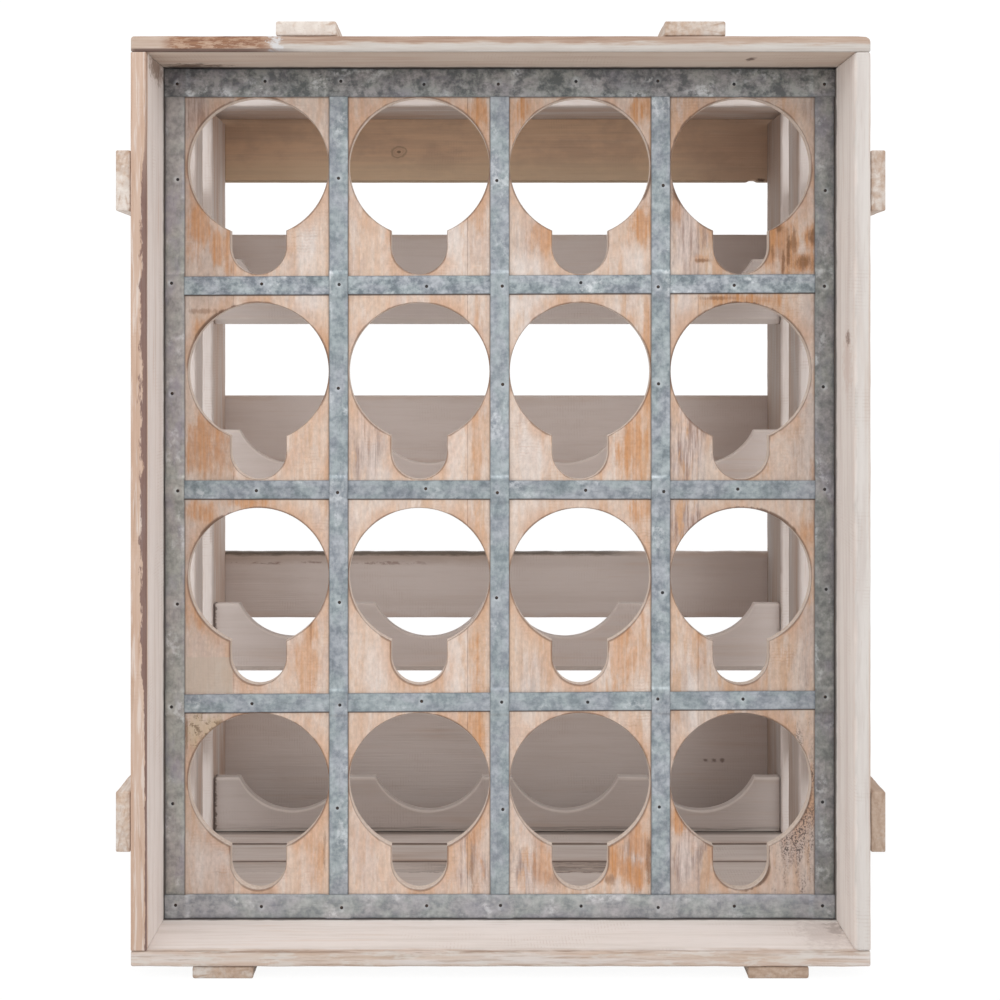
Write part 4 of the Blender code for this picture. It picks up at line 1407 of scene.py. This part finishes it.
def nail_field(name, seats, outward, radius, crown):
    """Low domed heads, one at each seat: rings of points, each wider and lower than the one inside it."""
    seats = np.array(seats)
    outward = np.array(outward, dtype=float)
    sideways = np.stack([np.roll(outward, 1, axis=1), np.cross(outward, np.roll(outward, 1, axis=1))], axis=1)
    shares = np.array([1.0, 1.0, 0.86, 0.5])
    heights = np.array([-head_depth, 0.35 * crown, 0.7 * crown, 0.95 * crown])
    turns = np.arange(head_turns) * 2 * np.pi / head_turns
    ring = np.stack([np.cos(turns), np.sin(turns)], axis=1)
    flat = shares[:, None, None] * radius * ring[None, :, :]
    bodies = np.einsum("krj,njc->nkrc", flat, sideways)
    bodies = bodies + heights[None, :, None, None] * outward[:, None, None, :]
    bodies = (bodies + seats[:, None, None, :]).reshape(len(seats), -1, 3)
    tips = seats + outward * crown
    bases = seats - outward * head_depth
    points = np.concatenate([bodies, tips[:, None, :], bases[:, None, :]], axis=1)
    sides, caps = tube_faces(len(shares), head_turns)
    tip = len(shares) * head_turns
    caps[:, 0] = np.where(caps[:, 0] == tip, tip + 1, tip)
    shifts = np.arange(len(seats))[:, None, None] * points.shape[1]
    faces = [(sides[None] + shifts).reshape(-1, 4), (caps[None] + shifts).reshape(-1, 3)]
    piece = make_piece(name, points.reshape(-1, 3), faces, nail_steel, sharp=60)
    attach(piece, "root")


def batten_seats(node):
    """Two nails through a batten into each board it crosses, their seats on the batten's outer face."""
    low, high = (np.array(corner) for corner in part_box(node))
    side = node.split("_")[0]
    through = 0 if side in ("left", "right") else 2
    outer = high[through] if side in ("right", "top") else low[through]
    wall = "bottom" if side == "foot" else side
    across = 2 - through
    seats = []
    for part in board_parts[wall]:
        board_low, board_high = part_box(f"{wall}_board_{part}")
        for share, sideways in ((0.3, -0.25), (0.68, 0.22)):
            seat = np.zeros(3)
            seat[1] = board_low[1] + (board_high[1] - board_low[1]) * share
            seat[across] = (low[across] + high[across]) / 2 + (high[across] - low[across]) * sideways
            seat[through] = outer
            seats.append(seat)
    outward = np.zeros(3)
    outward[through] = 1 if side in ("right", "top") else -1
    return seats, [outward] * len(seats)


nail_field("strip_nails", nail_seats, [(0, -1, 0)] * len(nail_seats), strip_nail_radius, strip_nail_crown)

wood_seats, wood_outward = [], []


def drive(seat, outward):
    """Notes a nail in the wood: where its head sits and which way it faces."""
    wood_seats.append(np.array(seat))
    wood_outward.append(np.array(outward))


def part_way(low, high, axis, share):
    """A place a share of the way from a box's low side to its high side."""
    return low[axis] + (high[axis] - low[axis]) * share


for name in batten_looks:
    if not name.startswith("foot"):
        for seat, outward in zip(*batten_seats(name)):
            drive(seat - outward * flush, outward)
for number, count in enumerate((2, 2, 2, 2, 3), 1):
    low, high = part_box(f"back_board_{number}")
    for side in (-1, 1):
        for place in range(count):
            z = low[2] + (high[2] - low[2]) * (place + 0.6) / (count + 0.2)
            drive((side * back_nail_x, high[1] - flush, z), (0, 1, 0))
for wall, way in (("top", 1), ("bottom", -1)):
    for part in board_parts[wall]:
        low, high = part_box(f"{wall}_board_{part}")
        for side in (-1, 1):
            for share in (0.22, 0.8):
                z = high[2] if way > 0 else low[2]
                drive((side * cap_nail_x, part_way(low, high, 1, share), z), (0, 0, way))
crossing_boards = [(f"bottle_cradle_{row}", "rear", (0.25, 0.75)) for row in (1, 2, 3, 4)]
crossing_boards.append(("panel_plank_1", "front", (0.08, 0.36, 0.64, 0.92)))
for name, part, shares in crossing_boards:
    low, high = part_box(name)
    for side, x in ((-1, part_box(f"left_board_{part}")[0][0]), (1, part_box(f"right_board_{part}")[1][0])):
        for share in shares:
            drive((x, (low[1] + high[1]) / 2, part_way(low, high, 2, share)), (side, 0, 0))
nail_field("wood_nails", wood_seats, wood_outward, wood_nail_radius, flush)


# Camera, lamps and floor
# The camera stands square to the mouth a little above the middle, as the photograph was taken. Three soft
# lamps and a white world light the crate. The floor is white to the camera but keeps the shadow.

lens = bpy.data.cameras.new("camera")
lens.lens = 62.8
lens.sensor_width = 36
lens.shift_x = 0.018
lens.shift_y = -0.145
camera = bpy.data.objects.new("camera", lens)
camera.location = (-0.0101, -1.0924, 0.3375)
camera.rotation_euler = (np.pi / 2, 0, 0)
bpy.context.scene.collection.objects.link(camera)
bpy.context.scene.camera = camera


lamp_aim = (0, 0, 0.25)


def soft_lamp(name, place, size, power):
    """A square area lamp that faces the middle of the crate."""
    data = bpy.data.lights.new(name, "AREA")
    data.shape = "SQUARE"
    data.size = size
    data.energy = power
    lamp = bpy.data.objects.new(name, data)
    lamp.location = place
    direction = np.array(lamp_aim) - np.array(place)
    lamp.rotation_euler = Vector(direction).to_track_quat("-Z", "Y").to_euler()
    bpy.context.scene.collection.objects.link(lamp)


soft_lamp("top lamp", (-0.2, -1.5, 2.1), 1.6, 14)
soft_lamp("left lamp", (-1.9, -1.3, 0.8), 1.4, 9)
soft_lamp("right lamp", (1.9, -1.3, 0.8), 1.4, 9)


def unlit_share(tree):
    """1 for what the camera sees, straight, in a reflection or through glass, and 0 for bounced light."""
    rays = tree.nodes.new("ShaderNodeLightPath").outputs
    names = ("Is Camera Ray", "Is Glossy Ray", "Is Transmission Ray")
    seen, glossy, through = (Signal(rays[name]) for name in names)
    return work("MAXIMUM", seen, work("MAXIMUM", glossy, through))


room_light = 0.75
seen_light = 0.29
floor_glow = 0.88

world = bpy.data.worlds.new("white room")
world.use_nodes = True
bpy.context.scene.world = world
tree = world.node_tree
tree.nodes.clear()
strength = times_add(unlit_share(tree), seen_light, room_light)
sky = add(tree, "ShaderNodeBackground", 0, {"Color": (1, 1, 1, 1), "Strength": strength})
send(sky, tree.nodes.new("ShaderNodeOutputWorld").inputs[0])

floor_mesh = bpy.data.meshes.new("floor")
floor_mesh.from_pydata([(-6, -6, 0), (6, -6, 0), (6, 6, 0), (-6, 6, 0)], [], [(0, 1, 2, 3)])
floor = bpy.data.objects.new("floor", floor_mesh)
bpy.context.scene.collection.objects.link(floor)
pale_floor, tree, _ = start_material("pale_floor")
tree.nodes.clear()
matt = add(tree, "ShaderNodeBsdfDiffuse", 0, {"Color": (0.82, 0.82, 0.82, 1)})
glow = add(tree, "ShaderNodeEmission", 0, {"Color": (1, 1, 1, 1), "Strength": 1.06})
floor_look = add(tree, "ShaderNodeMixShader", 0, {0: unlit_share(tree) * floor_glow, 1: matt, 2: glow})
send(floor_look, tree.nodes.new("ShaderNodeOutputMaterial").inputs[0])
floor_mesh.materials.append(pale_floor)

bpy.context.scene.view_settings.view_transform = "Standard"
